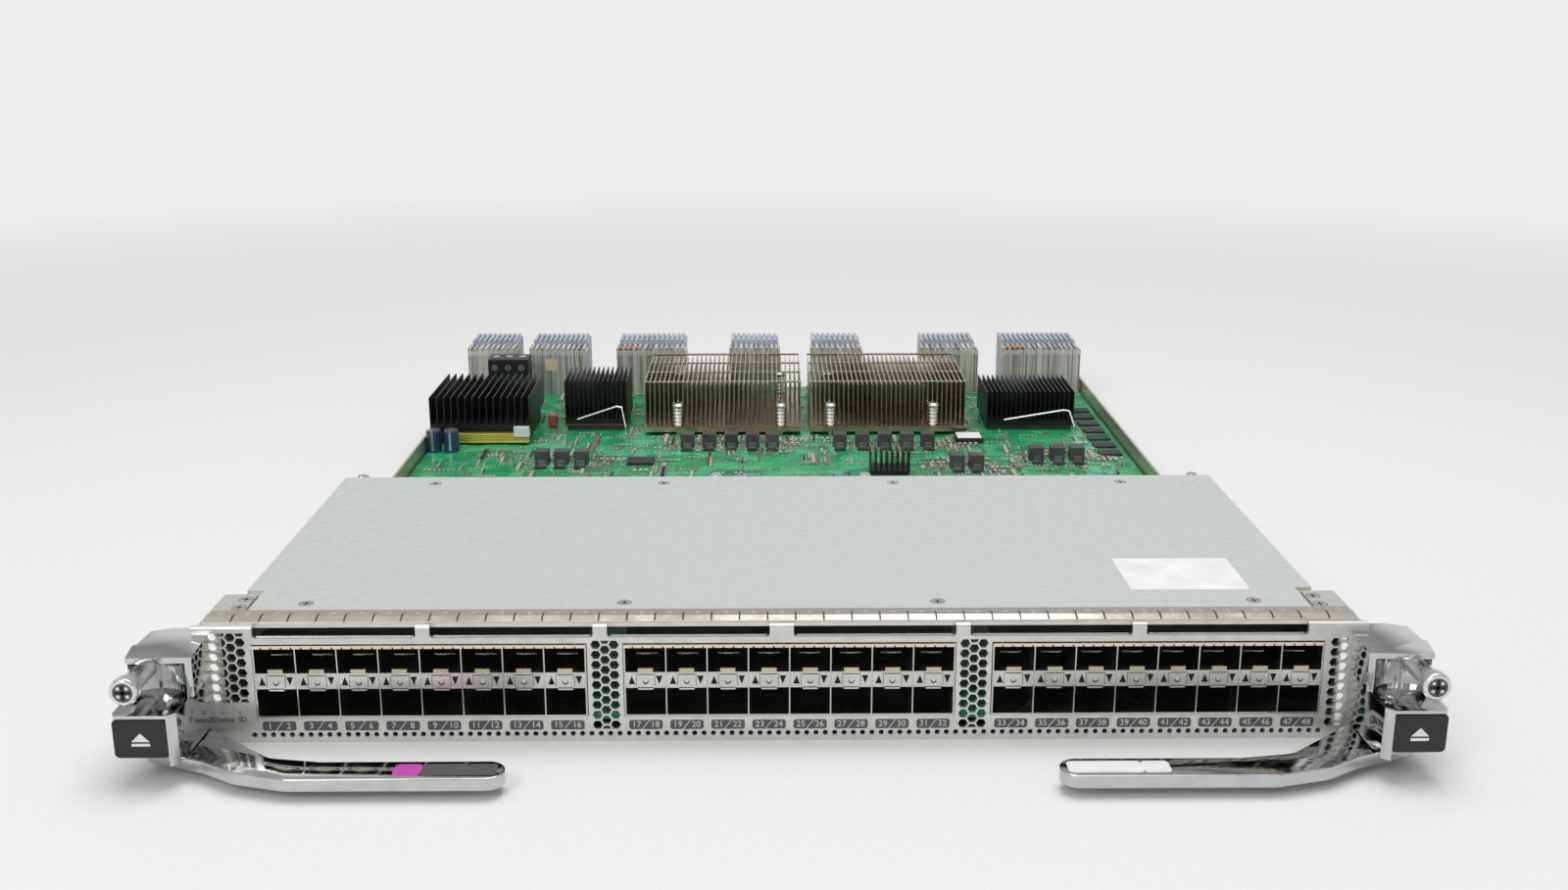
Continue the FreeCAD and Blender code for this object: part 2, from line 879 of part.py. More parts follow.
def stacked_connector(left, width, low, high):
    """Housing with one contact slot behind the upper port and one behind the lower."""
    rear = size("cage_d") - size("cage_wall")
    front = rear - size("connector_d")
    housing = block(left, left + width, front, rear, low, high)
    spacer_low = size("spacer_z")
    spacer_high = spacer_low + size("spacer_h")
    half = size("contact_slot") / 2
    near = left + size("slot_margin")
    far = left + width - size("slot_margin")
    back = front + size("slot_d")
    for centre in ((low + spacer_low) / 2, (spacer_high + high) / 2):
        housing = housing.cut(block(near, far, front - 1, back, centre - half, centre + half))
    return housing


def make_cage(side, centre):
    half = 4 * size("port_pitch") - size("cage_slip")
    wall = size("cage_wall")
    front = -size("cage_proud")
    rear = size("cage_d")
    low = board_top
    high = board_top + size("cage_h")
    shell = block(centre - half, centre + half, front, rear, low, high)
    inner = half - wall
    hollow = block(centre - inner, centre + inner, front - 1, rear - wall, low + wall, high - wall)
    shape_node(f"cage_shell_{side}", shell.cut(hollow))
    sheet = size("divider_t")
    cell = (2 * half - 2 * wall - 7 * sheet) / 8
    inner_low = low + wall
    inner_high = high - wall
    plates = []
    spacers = []
    connectors = []
    for column in range(8):
        left = centre - half + wall + column * (cell + sheet)
        if column:
            back = rear - wall - size("connector_d")
            plates.append(block(left - sheet, left, front, back, inner_low, inner_high))
        slip = size("slip")
        spacers.append(spacer(left + slip, cell - 2 * slip))
        connectors.append(stacked_connector(left, cell, inner_low, inner_high))
    shape_node(f"cage_dividers_{side}", Part.makeCompound(plates))
    shape_node(f"cage_spacers_{side}", Part.makeCompound(spacers))
    shape_node(f"port_connectors_{side}", Part.makeCompound(connectors))


def finger_strip(centre):
    """Springy strip over a port group, with a row of fingers down its front edge."""
    half = 4 * size("port_pitch") - size("cage_slip")
    front = -size("cage_proud")
    top = board_top + size("cage_h")
    rise = size("gap")
    strip = [block(centre - half, centre + half, front, size("finger_tail"), top, top + rise)]
    count = round(2 * half / size("finger_pitch"))
    pitch = 2 * half / count
    reach = pitch - size("finger_gap")
    for index in range(count):
        left = centre - half + index * pitch
        low = top - size("finger_drop")
        strip.append(block(left, left + reach, front - size("finger_t"), front, low, top + rise))
    return strip[0].multiFuse(strip[1:]).removeSplitter()


# Ejectors: a cast housing with a sprung button, a lever on a vertical pin and a captive screw


def make_housing():
    body = new_body("ejector_housing_left")
    lower = sketch_on(body, "XY_Plane", "house_z")
    outline(lower, [
        ("-pivot_x + 10.6", "0"),
        ("-pivot_x + 9.9", "button_front + 1"),
        ("-pivot_x + 7.4", "button_front - 1.4"),
        ("-button_out + 1.6", "button_front - 1.4"),
        ("-button_out + 0.4", "button_front + 1"),
        ("-button_out + 0.4", "bay_rear"),
        ("-button_out + 2.4", "0"),
    ])
    pad(body, lower, "ledge_z - house_z")
    upper = sketch_on(body, "XY_Plane", "ledge_z")
    outline(upper, [
        ("-pivot_x + 10.6", "0"),
        ("-pivot_x + 11.6", "bay_rear - 6.6"),
        ("-screw_x - 3.4", "bay_rear - 7.4"),
        ("-screw_x - 5.2", "bay_rear + 4"),
        ("-screw_x - 3.9", "bay_rear + 5"),
        ("-screw_x - 3.4", "house_rear - 3"),
        ("-screw_x + 3", "house_rear"),
        ("-face_w / 2 - gap", "house_rear"),
        ("-face_w / 2 - gap", "0"),
    ])
    pad(body, upper, "house_top - ledge_z")

    scoop = sketch_on(body, "XY_Plane", "house_top - scoop_top")
    circle(scoop, "-pivot_x - 1", "bay_rear + 0.4 - scoop_r", "scoop_r")
    pocket(body, scoop, "house_top - scoop_top - ledge_z", towards_plus=False)
    bay = sketch_on(body, "XY_Plane", "ledge_z - 1.1")
    rectangle(bay, "-button_out - 2", "button_front - 5", "gap - button_in", "bay_rear")
    pocket(body, bay, "ledge_z - house_z", towards_plus=False)
    neck = sketch_on(body, "XZ_Plane", "bay_rear - 20")
    circle(neck, "-screw_x", "screw_z", "neck_r + slip")
    pocket(body, neck, "20 - bay_rear + seat_y")
    shank = sketch_on(body, "XZ_Plane", "seat_y")
    circle(shank, "-screw_x", "screw_z", "screw_r + slip")
    pocket(body, shank, "house_rear - seat_y + 1")
    stem = sketch_on(body, "XZ_Plane", "bay_rear")
    circle(stem, "-(button_in + button_out) / 2", "stem_z", "stem_r + slip")
    pocket(body, stem, "stem_rear - bay_rear + stem_room")
    well = sketch_on(body, "XZ_Plane", "bay_rear")
    circle(well, "-(button_in + button_out) / 2", "stem_z", "button_well_r")
    pocket(body, well, "button_well_d")
    pin = sketch_on(body, "XY_Plane", "house_z")
    circle(pin, "-pivot_x", "pivot_y", "pivot_r + slip")
    pocket(body, pin, "pivot_depth")
    well = sketch_on(body, "XY_Plane", "house_z")
    circle(well, "-pivot_x", "pivot_y", "pivot_well_r")
    pocket(body, well, "pivot_well_d")
    node("ejector_housing_left", body)
    mirrored_node("ejector_housing_right", body)


def make_pivot():
    body = new_body("pivot_pin_left")
    section = sketch_on(body, "XZ_Plane", "pivot_y")
    outline(section, [
        ("-pivot_x", "lever_z - gap - pivot_head_t"),
        ("-pivot_x + pivot_head_r", "lever_z - gap - pivot_head_t"),
        ("-pivot_x + pivot_head_r", "lever_z - gap"),
        ("-pivot_x + pivot_r", "lever_z - gap"),
        ("-pivot_x + pivot_r", "house_z + pivot_depth"),
        ("-pivot_x", "house_z + pivot_depth"),
    ])
    revolve(body, section, "Edge6")
    node("pivot_pin_left", body)
    mirrored_node("pivot_pin_right", body)


def make_lever():
    body = new_body("lever_left")
    plan = sketch_on(body, "XY_Plane", "lever_z")
    outline(plan, [
        ("-pivot_x - 3", "pivot_y + 7"),
        ("-pivot_x + 6", "pivot_y + 7"),
        ("-pivot_x + 15.6", "pivot_y - 1.4"),
        ("-pivot_x + 25", "pivot_y - 9.7"),
        ("-pivot_x + 37", "lever_back + 3"),
        ("-pivot_x + 55", "lever_back"),
        ("-lever_tip", "lever_back"),
        ("-lever_tip", "lever_front"),
        ("-pivot_x + 46", "lever_front"),
        ("-pivot_x + 27.8", "lever_front + 5.2"),
        ("-pivot_x + 16", "lever_front + 12.9"),
        ("-pivot_x - 5.5", "lever_front + 22"),
        ("-pivot_x - 8.5", "pivot_y - 4"),
        ("-pivot_x - 8.5", "pivot_y + 2"),
    ])
    pad(body, plan, "lever_t")
    bore = sketch_on(body, "XY_Plane", "lever_z")
    circle(bore, "-pivot_x", "pivot_y", "pivot_r + slip")
    pocket(body, bore, "lever_t")

    def is_tip(edge):
        middle = edge.BoundBox.Center
        return is_along(edge, UP) and abs(middle.x + size("lever_tip")) < 1e-6

    round_edges(body, "(lever_back - lever_front) / 2 - 0.2", is_tip)

    def is_bend(edge):
        middle = edge.BoundBox.Center
        arm = -size("pivot_x") + 10 < middle.x < -size("pivot_x") + 60
        return is_along(edge, UP) and arm

    round_edges(body, "lever_bend_r", is_bend)
    node("lever_left", body)
    mirrored_node("lever_right", body)


def make_button():
    body = new_body("eject_button_left")
    face = sketch_on(body, "XZ_Plane", "button_front")
    rectangle(face, "-button_out", "button_z", "-button_in", "button_z + button_h")
    pad(body, face, "button_rear - button_front")

    def is_corner(edge):
        return is_along(edge, REARWARD)

    round_edges(body, "button_corner_r", is_corner)

    def is_face_rim(edge):
        return edge.BoundBox.YMax - size("button_front") < 1e-6

    round_edges(body, "button_rim_r", is_face_rim)
    stem = sketch_on(body, "XZ_Plane", "button_rear")
    circle(stem, "-(button_in + button_out) / 2", "stem_z", "stem_r")
    pad(body, stem, "stem_rear - button_rear")
    node("eject_button_left", body)
    mirrored_node("eject_button_right", body)


def coil(place, axis, inner, outer, length, turns):
    """Spring as a pleated sleeve, one pleat for each turn."""
    step = length / turns
    wire = (outer - inner) / 2
    profile = [(inner, 0)]
    for turn in range(turns):
        profile += [(outer - wire, turn * step), (outer, (turn + 0.5) * step)]
    profile += [(outer - wire, length), (inner, length)]
    return turned(profile, place, axis)


def make_springs():
    stem_x = -(size("button_in") + size("button_out")) / 2
    place = Vector(stem_x, size("button_rear") + size("gap"), size("stem_z"))
    length = size("bay_rear") + size("button_well_d") - size("button_rear") - 2 * size("gap")
    outer = size("button_well_r") - size("spring_room")
    left = coil(place, REARWARD, size("stem_r") + size("gap"), outer, length, 5)
    mirrored_node("button_spring_right", shape_node("button_spring_left", left))
    place = Vector(-size("screw_x"), size("neck_rear") + size("gap"), size("screw_z"))
    length = size("seat_y") - size("neck_rear") - 2 * size("gap")
    left = coil(place, REARWARD, size("screw_r") + 0.2, size("neck_r") - size("gap"), length, 4)
    mirrored_node("captive_screw_spring_right", shape_node("captive_screw_spring_left", left))
    place = Vector(-size("pivot_x"), size("pivot_y"), size("house_z") + size("gap"))
    outer = size("pivot_well_r") - 0.4
    length = size("pivot_well_d") - 2 * size("gap")
    left = coil(place, UP, size("pivot_r") + size("gap"), outer, length, 3)
    mirrored_node("lever_spring_right", shape_node("lever_spring_left", left))


def make_captive_screw():
    body = new_body("captive_screw_left")
    section = sketch_on(body, "XY_Plane", "screw_z")
    outline(section, [
        ("-screw_x", "knob_front"),
        ("knob_r - screw_x - knob_bevel", "knob_front"),
        ("knob_r - screw_x", "knob_front + knob_bevel"),
        ("knob_r - screw_x", "knob_rear - knob_bevel"),
        ("neck_r - screw_x", "knob_rear"),
        ("neck_r - screw_x", "neck_rear"),
        ("undercut_r - screw_x", "neck_rear"),
        ("undercut_r - screw_x", "house_rear + clip_t + 2 * gap"),
        ("screw_r - screw_x", "house_rear + clip_t + 2 * gap"),
        ("screw_r - screw_x", "screw_tip - knob_bevel"),
        ("screw_r - screw_x - knob_bevel", "screw_tip"),
        ("-screw_x", "screw_tip"),
    ])
    revolve(body, section, "Edge12")
    node("captive_screw_left", body)
    mirrored_node("captive_screw_right", body)
    start = size("house_rear") + size("gap")
    place = Vector(-size("screw_x"), start, size("screw_z"))
    inner = size("undercut_r") + size("slip")
    outer = inner + size("clip_ring")
    profile = [(inner, 0), (outer, 0), (outer, size("clip_t")), (inner, size("clip_t"))]
    clip = shape_node("screw_clip_left", turned(profile, place, REARWARD))
    mirrored_node("screw_clip_right", clip)


# Heat sinks: a base with a row of upright fins


def finned_body(name, left, width, front, depth, low, base, top, fin_front, count):
    """Base plate with equal upright fins, each size given as an expression."""
    body = new_body(name)
    plate = sketch_on(body, "XY_Plane", low)
    rectangle(plate, left, front, f"{left} + {width}", f"{front} + {depth}")
    pad(body, plate, base)
    first = sketch_on(body, "XY_Plane", f"{low} + {base}")
    rectangle(first, left, fin_front, f"{left} + fin_t", f"{front} + {depth}")
    fin = pad(body, first, f"{top} - {low} - {base}")
    row = body.newObject("PartDesign::LinearPattern", f"{name}_row")
    row.Originals = [fin]
    row.Direction = (first, ["H_Axis"])
    bind(row, "Length", f"{width} - fin_t")
    bind(row, "Occurrences", count)
    fin.Refine = False
    row.Refine = False
    body.Tip = row
    return body


def make_large_sink():
    """Left sink: corners notched round the spring screws, tabs across the tops of the fins."""
    left = "(sinks_x - sink_gap / 2 - sink_w)"
    body = finned_body(
        "large_sink", left, "sink_w", "sink_front", "sink_d", "sink_z", "sink_base", "sink_top",
        "fin_front", "fin_count"
    )
    notches = sketch_on(body, "XY_Plane", "sink_z + sink_base")
    for low, high in (("fin_front - 1", "fin_front + notch_d"), ("rear_notch", "sink_front + sink_d + 1")):
        rectangle(notches, f"{left} - 1", low, f"{left} + far_notch_w", high)
        rectangle(notches, f"{left} + sink_w - near_notch_w", low, f"{left} + sink_w + 1", high)
    pocket(body, notches, "sink_top", towards_plus=True)
    tabs = sketch_on(body, "XY_Plane", "sink_top - tab_t")
    for step in ("0", "1", "2", "3"):
        along = f"(tab_front + {step} * tab_pitch)"
        rectangle(tabs, left, along, f"{left} + sink_w", f"{along} + tab_t")
    pad(body, tabs, "tab_t")
    radius = size("sink_screw_r") + size("slip")
    return cut_holes("large_heat_sink_left", body, sink_screw_places("left"), radius, 0, 30)


def sink_left_edge(side):
    if side == "left":
        return size("sinks_x") - size("sink_gap") / 2 - size("sink_w")
    return size("sinks_x") + size("sink_gap") / 2


def sink_screw_places(side):
    left = sink_left_edge(side)
    right = left + size("sink_w")
    near = size("near_screw")
    far = size("far_screw")
    columns = (left + far, right - near) if side == "left" else (left + near, right - far)
    front = size("sink_front") + size("sink_screw_inset")
    rear = size("sink_front") + size("sink_d") - size("sink_screw_inset")
    return grid(columns, (front, rear))


def make_large_sinks():
    mirrored_node("large_heat_sink_right", make_large_sink(), "sinks_x")
    places = sink_screw_places("left") + sink_screw_places("right")
    base_top = size("sink_z") + size("sink_base")
    spring_l = size("sink_spring_l")
    seat = base_top + spring_l + size("gap")
    shank = size("sink_screw_r")
    head_r = size("sink_head_r")
    head_h = size("sink_head_h")
    screws = [pan_screw(x, y, seat, head_r, head_h, shank, seat - board_top) for x, y in places]
    shape_node("sink_screws", Part.makeCompound(screws))
    springs = []
    for x, y in places:
        place = Vector(x, y, base_top)
        springs.append(coil(place, UP, shank + size("gap"), size("sink_spring_r"), spring_l, 5))
    shape_node("sink_springs", Part.makeCompound(springs))


def make_black_sinks():
    left = finned_body(
        "processor_sink", "cpu_x", "cpu_w", "cpu_y", "cpu_d", "cpu_z", "cpu_base", "cpu_top", "cpu_y", "14"
    )
    node("processor_heat_sink", left)
    right = finned_body(
        "fabric_sink", "fabric_x", "fabric_w", "fabric_y", "fabric_d", "fabric_z", "cpu_base", "fabric_top",
        "fabric_y", "19"
    )
    node("fabric_heat_sink", right)
    small = finned_body(
        "clock_sink", "clock_x", "clock_w", "clock_y", "clock_d", "clock_z", "clock_base", "clock_top",
        "clock_y", "8"
    )
    node("clock_heat_sink", small)
    power = finned_body(
        "power_sink", "brick_x", "brick_w", "brick_y", "brick_d", "brick_z", "brick_base", "brick_top",
        "brick_y", "15"
    )
    node("power_heat_sink", power)


def make_sink_clips():
    """Bent wires that hold the processor's and the fabric chip's sinks down on the board."""
    radius = size("clip_wire_r")
    foot = size("clip_foot")
    wires = []
    for name in ("cpu", "fabric"):
        left = size(f"{name}_x")
        right = left + size(f"{name}_w")
        base = size(f"{name}_z") + size("cpu_base")
        peak = base + size(f"{name}_clip_h")
        front = size(f"{name}_y") - radius
        wires.append(bent_wire([
            Vector(left + 0.2 * size(f"{name}_w"), front, base + radius + 0.2),
            Vector(right - 6, front - 1, peak - 2.5),
            Vector(right - 3, front - 1.5, peak - 3),
            Vector(right - 0.5, front - foot, board_top + 3),
            Vector(right - 0.5, front - foot, board_top),
        ], radius))
    shape_node("sink_clips", Part.makeCompound(wires))


def make_chip_packages():
    """Chips under the heat sinks, each between the board and the base of its sink."""
    packages = []
    half = size("asic_w") / 2
    centre = size("sink_front") + size("sink_d") / 2
    front = centre - half
    rear = centre + half
    for side in ("left", "right"):
        middle = sink_left_edge(side) + size("sink_w") / 2
        packages.append(block(middle - half, middle + half, front, rear, board_top, size("sink_z")))
    margin = size("chip_margin")
    for name in ("cpu", "fabric", "clock"):
        left = size(f"{name}_x") + margin
        right = size(f"{name}_x") + size(f"{name}_w") - margin
        front = size(f"{name}_y") - size("chip_front")
        rear = size(f"{name}_y") + size(f"{name}_d") - margin
        packages.append(block(left, right, front, rear, board_top, size(f"{name}_z")))
    shape_node("chip_packages", Part.makeCompound(packages))


# Parts on the circuit board


def make_power_parts():
    x = size("brick_x")
    y = size("brick_y")
    right = x + size("brick_w")
    rear = y + size("brick_d")
    low = size("brick_z")
    core_rear = y + size("core_d")
    core_low = board_top + size("core_lift")
    shape_node("power_module", block(x + 2, right - 2, core_rear, rear - 2, board_top, low))
    core = block(x + size("core_x"), right - 1, y, core_rear, core_low, low - size("core_drop"))
    shape_node("power_core", core)
    radius = size("can_r")
    height = size("can_h")
    bevel = size("can_bevel")
    profile = [(0, 0), (radius, 0), (radius, height - bevel), (radius - bevel / 2, height), (0, height)]
    cans = []
    for step in (0, 1):
        place = Vector(x + size("can_x") + step * size("can_pitch"), y - size("can_y"), board_top)
        cans.append(turned(profile, place, UP))
    shape_node("capacitors", Part.makeCompound(cans))
    left = size("terminal_x")
    front = size("terminal_y")
    right = left + size("terminal_w")
    rear = front + size("terminal_d")
    shape_node("power_terminal", block(left, right, front, rear, board_top, size("terminal_top")))


# Rows of inductors: how far back each row stands, and where each coil stands across the board
coil_rows = [
    (345, (-49, -37, -24.8, -13, -2.2)),
    (345, (35, 47.5, 59.8, 72, 83.5)),
    (311, (-124.5, -114.3, -103.8)),
    (302, (95.1, 105.2)),
    (316, (139, 150.2, 160.7)),
]


def flat_chip(name, x, y):
    """Low package on the board, with its front left corner at x and y."""
    rear = y + size(f"{name}_d")
    return block(x, x + size(f"{name}_w"), y, rear, board_top, board_top + size(f"{name}_h"))


def make_board_parts():
    """Each inductor has its driver chip before it. A control chip, a clock and memory stand apart."""
    side = size("coil_w")
    driver_front = size("driver_gap") + size("driver_d")
    coils = []
    chips = []
    for y, columns in coil_rows:
        for x in columns:
            coils.append(block(x - side / 2, x + side / 2, y, y + side, board_top, board_top + side))
            chips.append(flat_chip("driver", x - size("driver_w") / 2, y - driver_front))
    shape_node("power_inductors", Part.makeCompound(coils))
    chips.append(flat_chip("control", size("control_x"), size("control_y")))
    chips.append(flat_chip("clock_box", size("clock_box_x"), size("clock_box_y")))
    for step in range(7):
        chips.append(flat_chip("memory", size("memory_x"), size("memory_y") + step * size("memory_pitch")))
    shape_node("board_chips", Part.makeCompound(chips))


# Rear connectors: upright wafer blocks with ribbed housings behind them, each from left to right
plug_spans = [
    (-190.5, -160.3),
    (-152.4, -116.6),
    (-98.4, -55.3),
    (-28.5, 3),
    (21.9, 54.1),
    (90.5, 126.3),
    (141.5, 190),
]


def ribbed_block(left, right, front, rear, low, high, rise):
    """Block whose top carries ribs along Y."""
    count = round((right - left) / size("rib_pitch"))
    pitch = (right - left) / count
    corners = [Vector(left, front, low)]
    for index in range(count):
        x = left + index * pitch
        corners.append(Vector(x, front, high))
        corners.append(Vector(x + pitch * 0.6, front, high))
        corners.append(Vector(x + pitch * 0.6, front, high - rise))
        corners.append(Vector(x + pitch, front, high - rise))
    corners.append(Vector(right, front, low))
    return prism(corners, Vector(0, rear - front, 0))


def chambers(left, right, rear, low, high):
    """Upright slots in the rear face of a plug, one under each rib."""
    count = round((right - left) / size("rib_pitch"))
    pitch = (right - left) / count
    width = size("chamber_w")
    margin = size("chamber_margin")
    slots = []
    for index in range(count):
        x = left + (index + 0.3) * pitch - width / 2
        slots.append(block(x, x + width, rear - size("chamber_d"), rear + 1, low + margin, high - margin))
    return Part.makeCompound(slots)


def make_rear_connectors():
    front = size("plug_front")
    middle = front + size("plug_front_d")
    rear = middle + size("plug_rear_d")
    top = size("plug_top")
    rise = size("rib_h")
    step = size("plug_step")
    shell_top = top + size("plug_rise")
    wafers = []
    housings = []
    for left, right in plug_spans:
        wafers.append(ribbed_block(left, right, front, middle, board_top, top, rise))
        shell = ribbed_block(left + step, right - step, middle, rear, board_top, shell_top, rise)
        housings.append(shell.cut(chambers(left + step, right - step, rear, board_top, top)))
    shape_node("backplane_wafers", Part.makeCompound(wafers))
    shape_node("backplane_housings", Part.makeCompound(housings))


make_tray()
make_faceplate()
make_gasket()
make_cover()
make_front_rail()
make_rear_rail()
make_cover_screws()
make_board()
for side, centre in zip(("left", "middle", "right"), port_centres()):
    make_cage(side, centre)
shape_node("cage_gaskets", Part.makeCompound([finger_strip(centre) for centre in port_centres()]))
make_housing()
make_pivot()
make_lever()
make_button()
make_springs()
make_captive_screw()
make_large_sinks()
make_black_sinks()
make_sink_clips()
make_chip_packages()
make_power_parts()
make_board_parts()
make_rear_connectors()
doc.recompute()

for obj in doc.Objects:
    if {"Invalid", "Error"} & set(obj.State):
        raise RuntimeError(f"{obj.Name} did not build: {obj.State}")
for name, obj in nodes.items():
    if obj.Shape.isNull() or not obj.Shape.isValid():
        raise RuntimeError(f"{name} has no valid shape")

os.makedirs("parts", exist_ok=True)
for name, obj in nodes.items():
    obj.Shape.exportStep(f"parts/{name}.step")
print(f"{len(nodes)} sub-parts written")
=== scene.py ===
# %% [markdown]
# # Dressing a switch line card
# A line card is a sheet steel tray that slides into a network chassis. Its faceplate
# carries forty-eight small ports, and its board carries the chips and their heat sinks.
# The solids come from the part's own model and never move here. What this file adds
# is finish: metals, plastics, the printed board, and the small parts that sit on them.
# Sizes are in millimetres, as on a drawing, and helpers turn them into metres. Places
# are read from the solids where a detail belongs to one, so that the two stay together.

# %% Load the solids
import json
import math
import random

import bmesh
import bpy
from mathutils import Matrix, Vector


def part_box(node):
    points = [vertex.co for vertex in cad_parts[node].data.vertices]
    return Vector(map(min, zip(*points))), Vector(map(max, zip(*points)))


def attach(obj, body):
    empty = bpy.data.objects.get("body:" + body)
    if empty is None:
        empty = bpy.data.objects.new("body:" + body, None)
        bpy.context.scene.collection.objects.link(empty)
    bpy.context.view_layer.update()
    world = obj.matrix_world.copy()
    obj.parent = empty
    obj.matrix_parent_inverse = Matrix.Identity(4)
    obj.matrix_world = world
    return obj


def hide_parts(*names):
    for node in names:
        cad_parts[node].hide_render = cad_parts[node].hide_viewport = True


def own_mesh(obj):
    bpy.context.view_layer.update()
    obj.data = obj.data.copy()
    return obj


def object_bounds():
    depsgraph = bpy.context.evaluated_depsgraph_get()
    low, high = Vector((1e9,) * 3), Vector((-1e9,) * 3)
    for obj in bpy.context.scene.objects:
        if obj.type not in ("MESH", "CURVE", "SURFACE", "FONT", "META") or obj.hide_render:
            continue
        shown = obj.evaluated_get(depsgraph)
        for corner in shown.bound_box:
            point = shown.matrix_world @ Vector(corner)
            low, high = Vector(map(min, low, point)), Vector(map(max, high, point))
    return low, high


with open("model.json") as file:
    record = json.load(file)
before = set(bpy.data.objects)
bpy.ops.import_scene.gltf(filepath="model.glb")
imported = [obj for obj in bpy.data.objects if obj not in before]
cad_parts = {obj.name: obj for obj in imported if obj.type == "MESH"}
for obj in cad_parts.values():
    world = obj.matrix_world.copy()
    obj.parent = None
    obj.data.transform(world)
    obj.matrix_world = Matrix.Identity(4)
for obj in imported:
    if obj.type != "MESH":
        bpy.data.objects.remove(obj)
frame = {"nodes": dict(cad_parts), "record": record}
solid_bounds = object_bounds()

MM = 0.001
CARD = "card"
nodes = frame["nodes"]
print("solids loaded:", len(nodes))

# %% [markdown]
# ## The camera
# The card is seen from in front and a little above, as it lies on a table. The camera
# stands half a metre before the faceplate and looks down by fifteen degrees, so that
# the ports, the cover and the heat sinks behind it all show in one view.

# %% Place the camera
CAMERA_AT = Vector((-4.4, -529.7, 249.8)) * MM
CAMERA_DOWN = 15.47
CAMERA_TURN = -0.57
SENSOR_WIDTH = 36.0
FOCAL_LENGTH = 37.33
NEAREST_SEEN = 10 * MM

camera_data = bpy.data.cameras.new("camera")
camera_data.sensor_width = SENSOR_WIDTH
camera_data.lens = FOCAL_LENGTH
camera_data.clip_start = NEAREST_SEEN
camera = bpy.data.objects.new("camera", camera_data)
bpy.context.scene.collection.objects.link(camera)
camera.location = CAMERA_AT
camera.rotation_euler = (math.radians(90 - CAMERA_DOWN), 0, math.radians(CAMERA_TURN))
bpy.context.scene.camera = camera
bpy.context.scene.view_settings.view_transform = "Standard"
print("camera lens:", FOCAL_LENGTH)

# %% [markdown]
# ## A way to wire a finish
# A finish is a small graph of nodes: patterns that follow the piece's own place, ramps
# that turn them into colour and roughness, and a bump that lets light catch them.
# Wiring each one by hand is long, so this helper keeps a graph and adds to it by short
# calls. Values that are the same all over are set on the shader itself.

# %% Define the finish helper
def fill_ramp(points, stops):
    """Fills a colour ramp: stops is a list of (position, colour or grey)."""
    while len(points) < len(stops):
        points.new(0.5)
    for point, (position, shade) in zip(points, stops):
        point.position = position
        point.color = (*shade, 1) if isinstance(shade, tuple) else (shade, shade, shade, 1)


class Finish:
    """A material being wired: patterns on the piece's own coordinates, then the shader."""

    # The mix node has sockets for every kind of value, so its colours go by number.
    MIX_AMOUNT = 0
    MIX_COLOURS = (6, 7)
    MIX_RESULT = 2

    def __init__(self, name, colour, roughness=0.5, metallic=0.0):
        self.material = bpy.data.materials.new(name)
        self.material.use_nodes = True
        tree = self.material.node_tree
        self.nodes, self.links = tree.nodes, tree.links
        self.shader = self.nodes["Principled BSDF"]
        self.place = self.nodes.new("ShaderNodeTexCoord").outputs["Object"]
        self.give("Base Color", colour)
        self.give("Roughness", roughness)
        self.give("Metallic", metallic)

    def feed(self, socket, value):
        """Links a pattern to a socket, or sets a plain value on it."""
        if isinstance(value, bpy.types.NodeSocket):
            self.links.new(value, socket)
        elif socket.type == "RGBA" and len(value) == 3:
            socket.default_value = (*value, 1)
        else:
            socket.default_value = value

    def give(self, name, value):
        """Feeds one input of the shader."""
        self.feed(self.shader.inputs[name], value)

    def node(self, kind, inputs=(), **settings):
        made = self.nodes.new(kind)
        for setting, value in settings.items():
            setattr(made, setting, value)
        for socket, value in dict(inputs).items():
            self.feed(made.inputs[socket], value)
        return made

    def stretched(self, scale):
        """The piece's place, scaled by a different amount along each axis."""
        inputs = {"Vector": self.place, "Scale": scale}
        return self.node("ShaderNodeMapping", inputs).outputs["Vector"]

    def noise(self, scale, detail=3.0, rough=0.5, place=None):
        inputs = {"Vector": place or self.place, "Scale": scale, "Detail": detail, "Roughness": rough}
        return self.node("ShaderNodeTexNoise", inputs).outputs["Fac"]

    def cells(self, scale, spread, output="Distance", place=None):
        """Cells round scattered points: the distance to the nearest, or a colour for each."""
        inputs = {"Vector": place or self.place, "Scale": scale, "Randomness": spread}
        return self.node("ShaderNodeTexVoronoi", inputs, feature="F1").outputs[output]

    def ramp(self, value, stops):
        """Colours or greys by value."""
        made = self.node("ShaderNodeValToRGB", {"Fac": value})
        fill_ramp(made.color_ramp.elements, stops)
        return made.outputs["Color"]

    def levels(self, value, low, high, to_low, to_high):
        """A value mapped from one range to another and held inside it."""
        inputs = {"Value": value, "From Min": low, "From Max": high, "To Min": to_low, "To Max": to_high}
        return self.node("ShaderNodeMapRange", inputs).outputs["Result"]

    def maths(self, operation, first, second):
        return self.node("ShaderNodeMath", {0: first, 1: second}, operation=operation).outputs["Value"]

    def mix(self, amount, first, second):
        """One colour laid over another by an amount."""
        inputs = {self.MIX_AMOUNT: amount, **dict(zip(self.MIX_COLOURS, (first, second)))}
        return self.node("ShaderNodeMix", inputs, data_type="RGBA").outputs[self.MIX_RESULT]

    def bump(self, height, strength, distance):
        """Lets light catch a pattern. The distance is its depth in metres."""
        inputs = {"Height": height, "Strength": strength, "Distance": distance}
        self.give("Normal", self.node("ShaderNodeBump", inputs).outputs["Normal"])
        return self


print("finish helper ready")

# %% [markdown]
# ## Ways to make and place a piece
# Small parts are punched, moulded or printed, so most are blocks, discs and thin plates.
# Places are written in millimetres, as a drawing of the card would give them: X across
# from its middle line, Y back from the front of the faceplate, Z up from the bench.

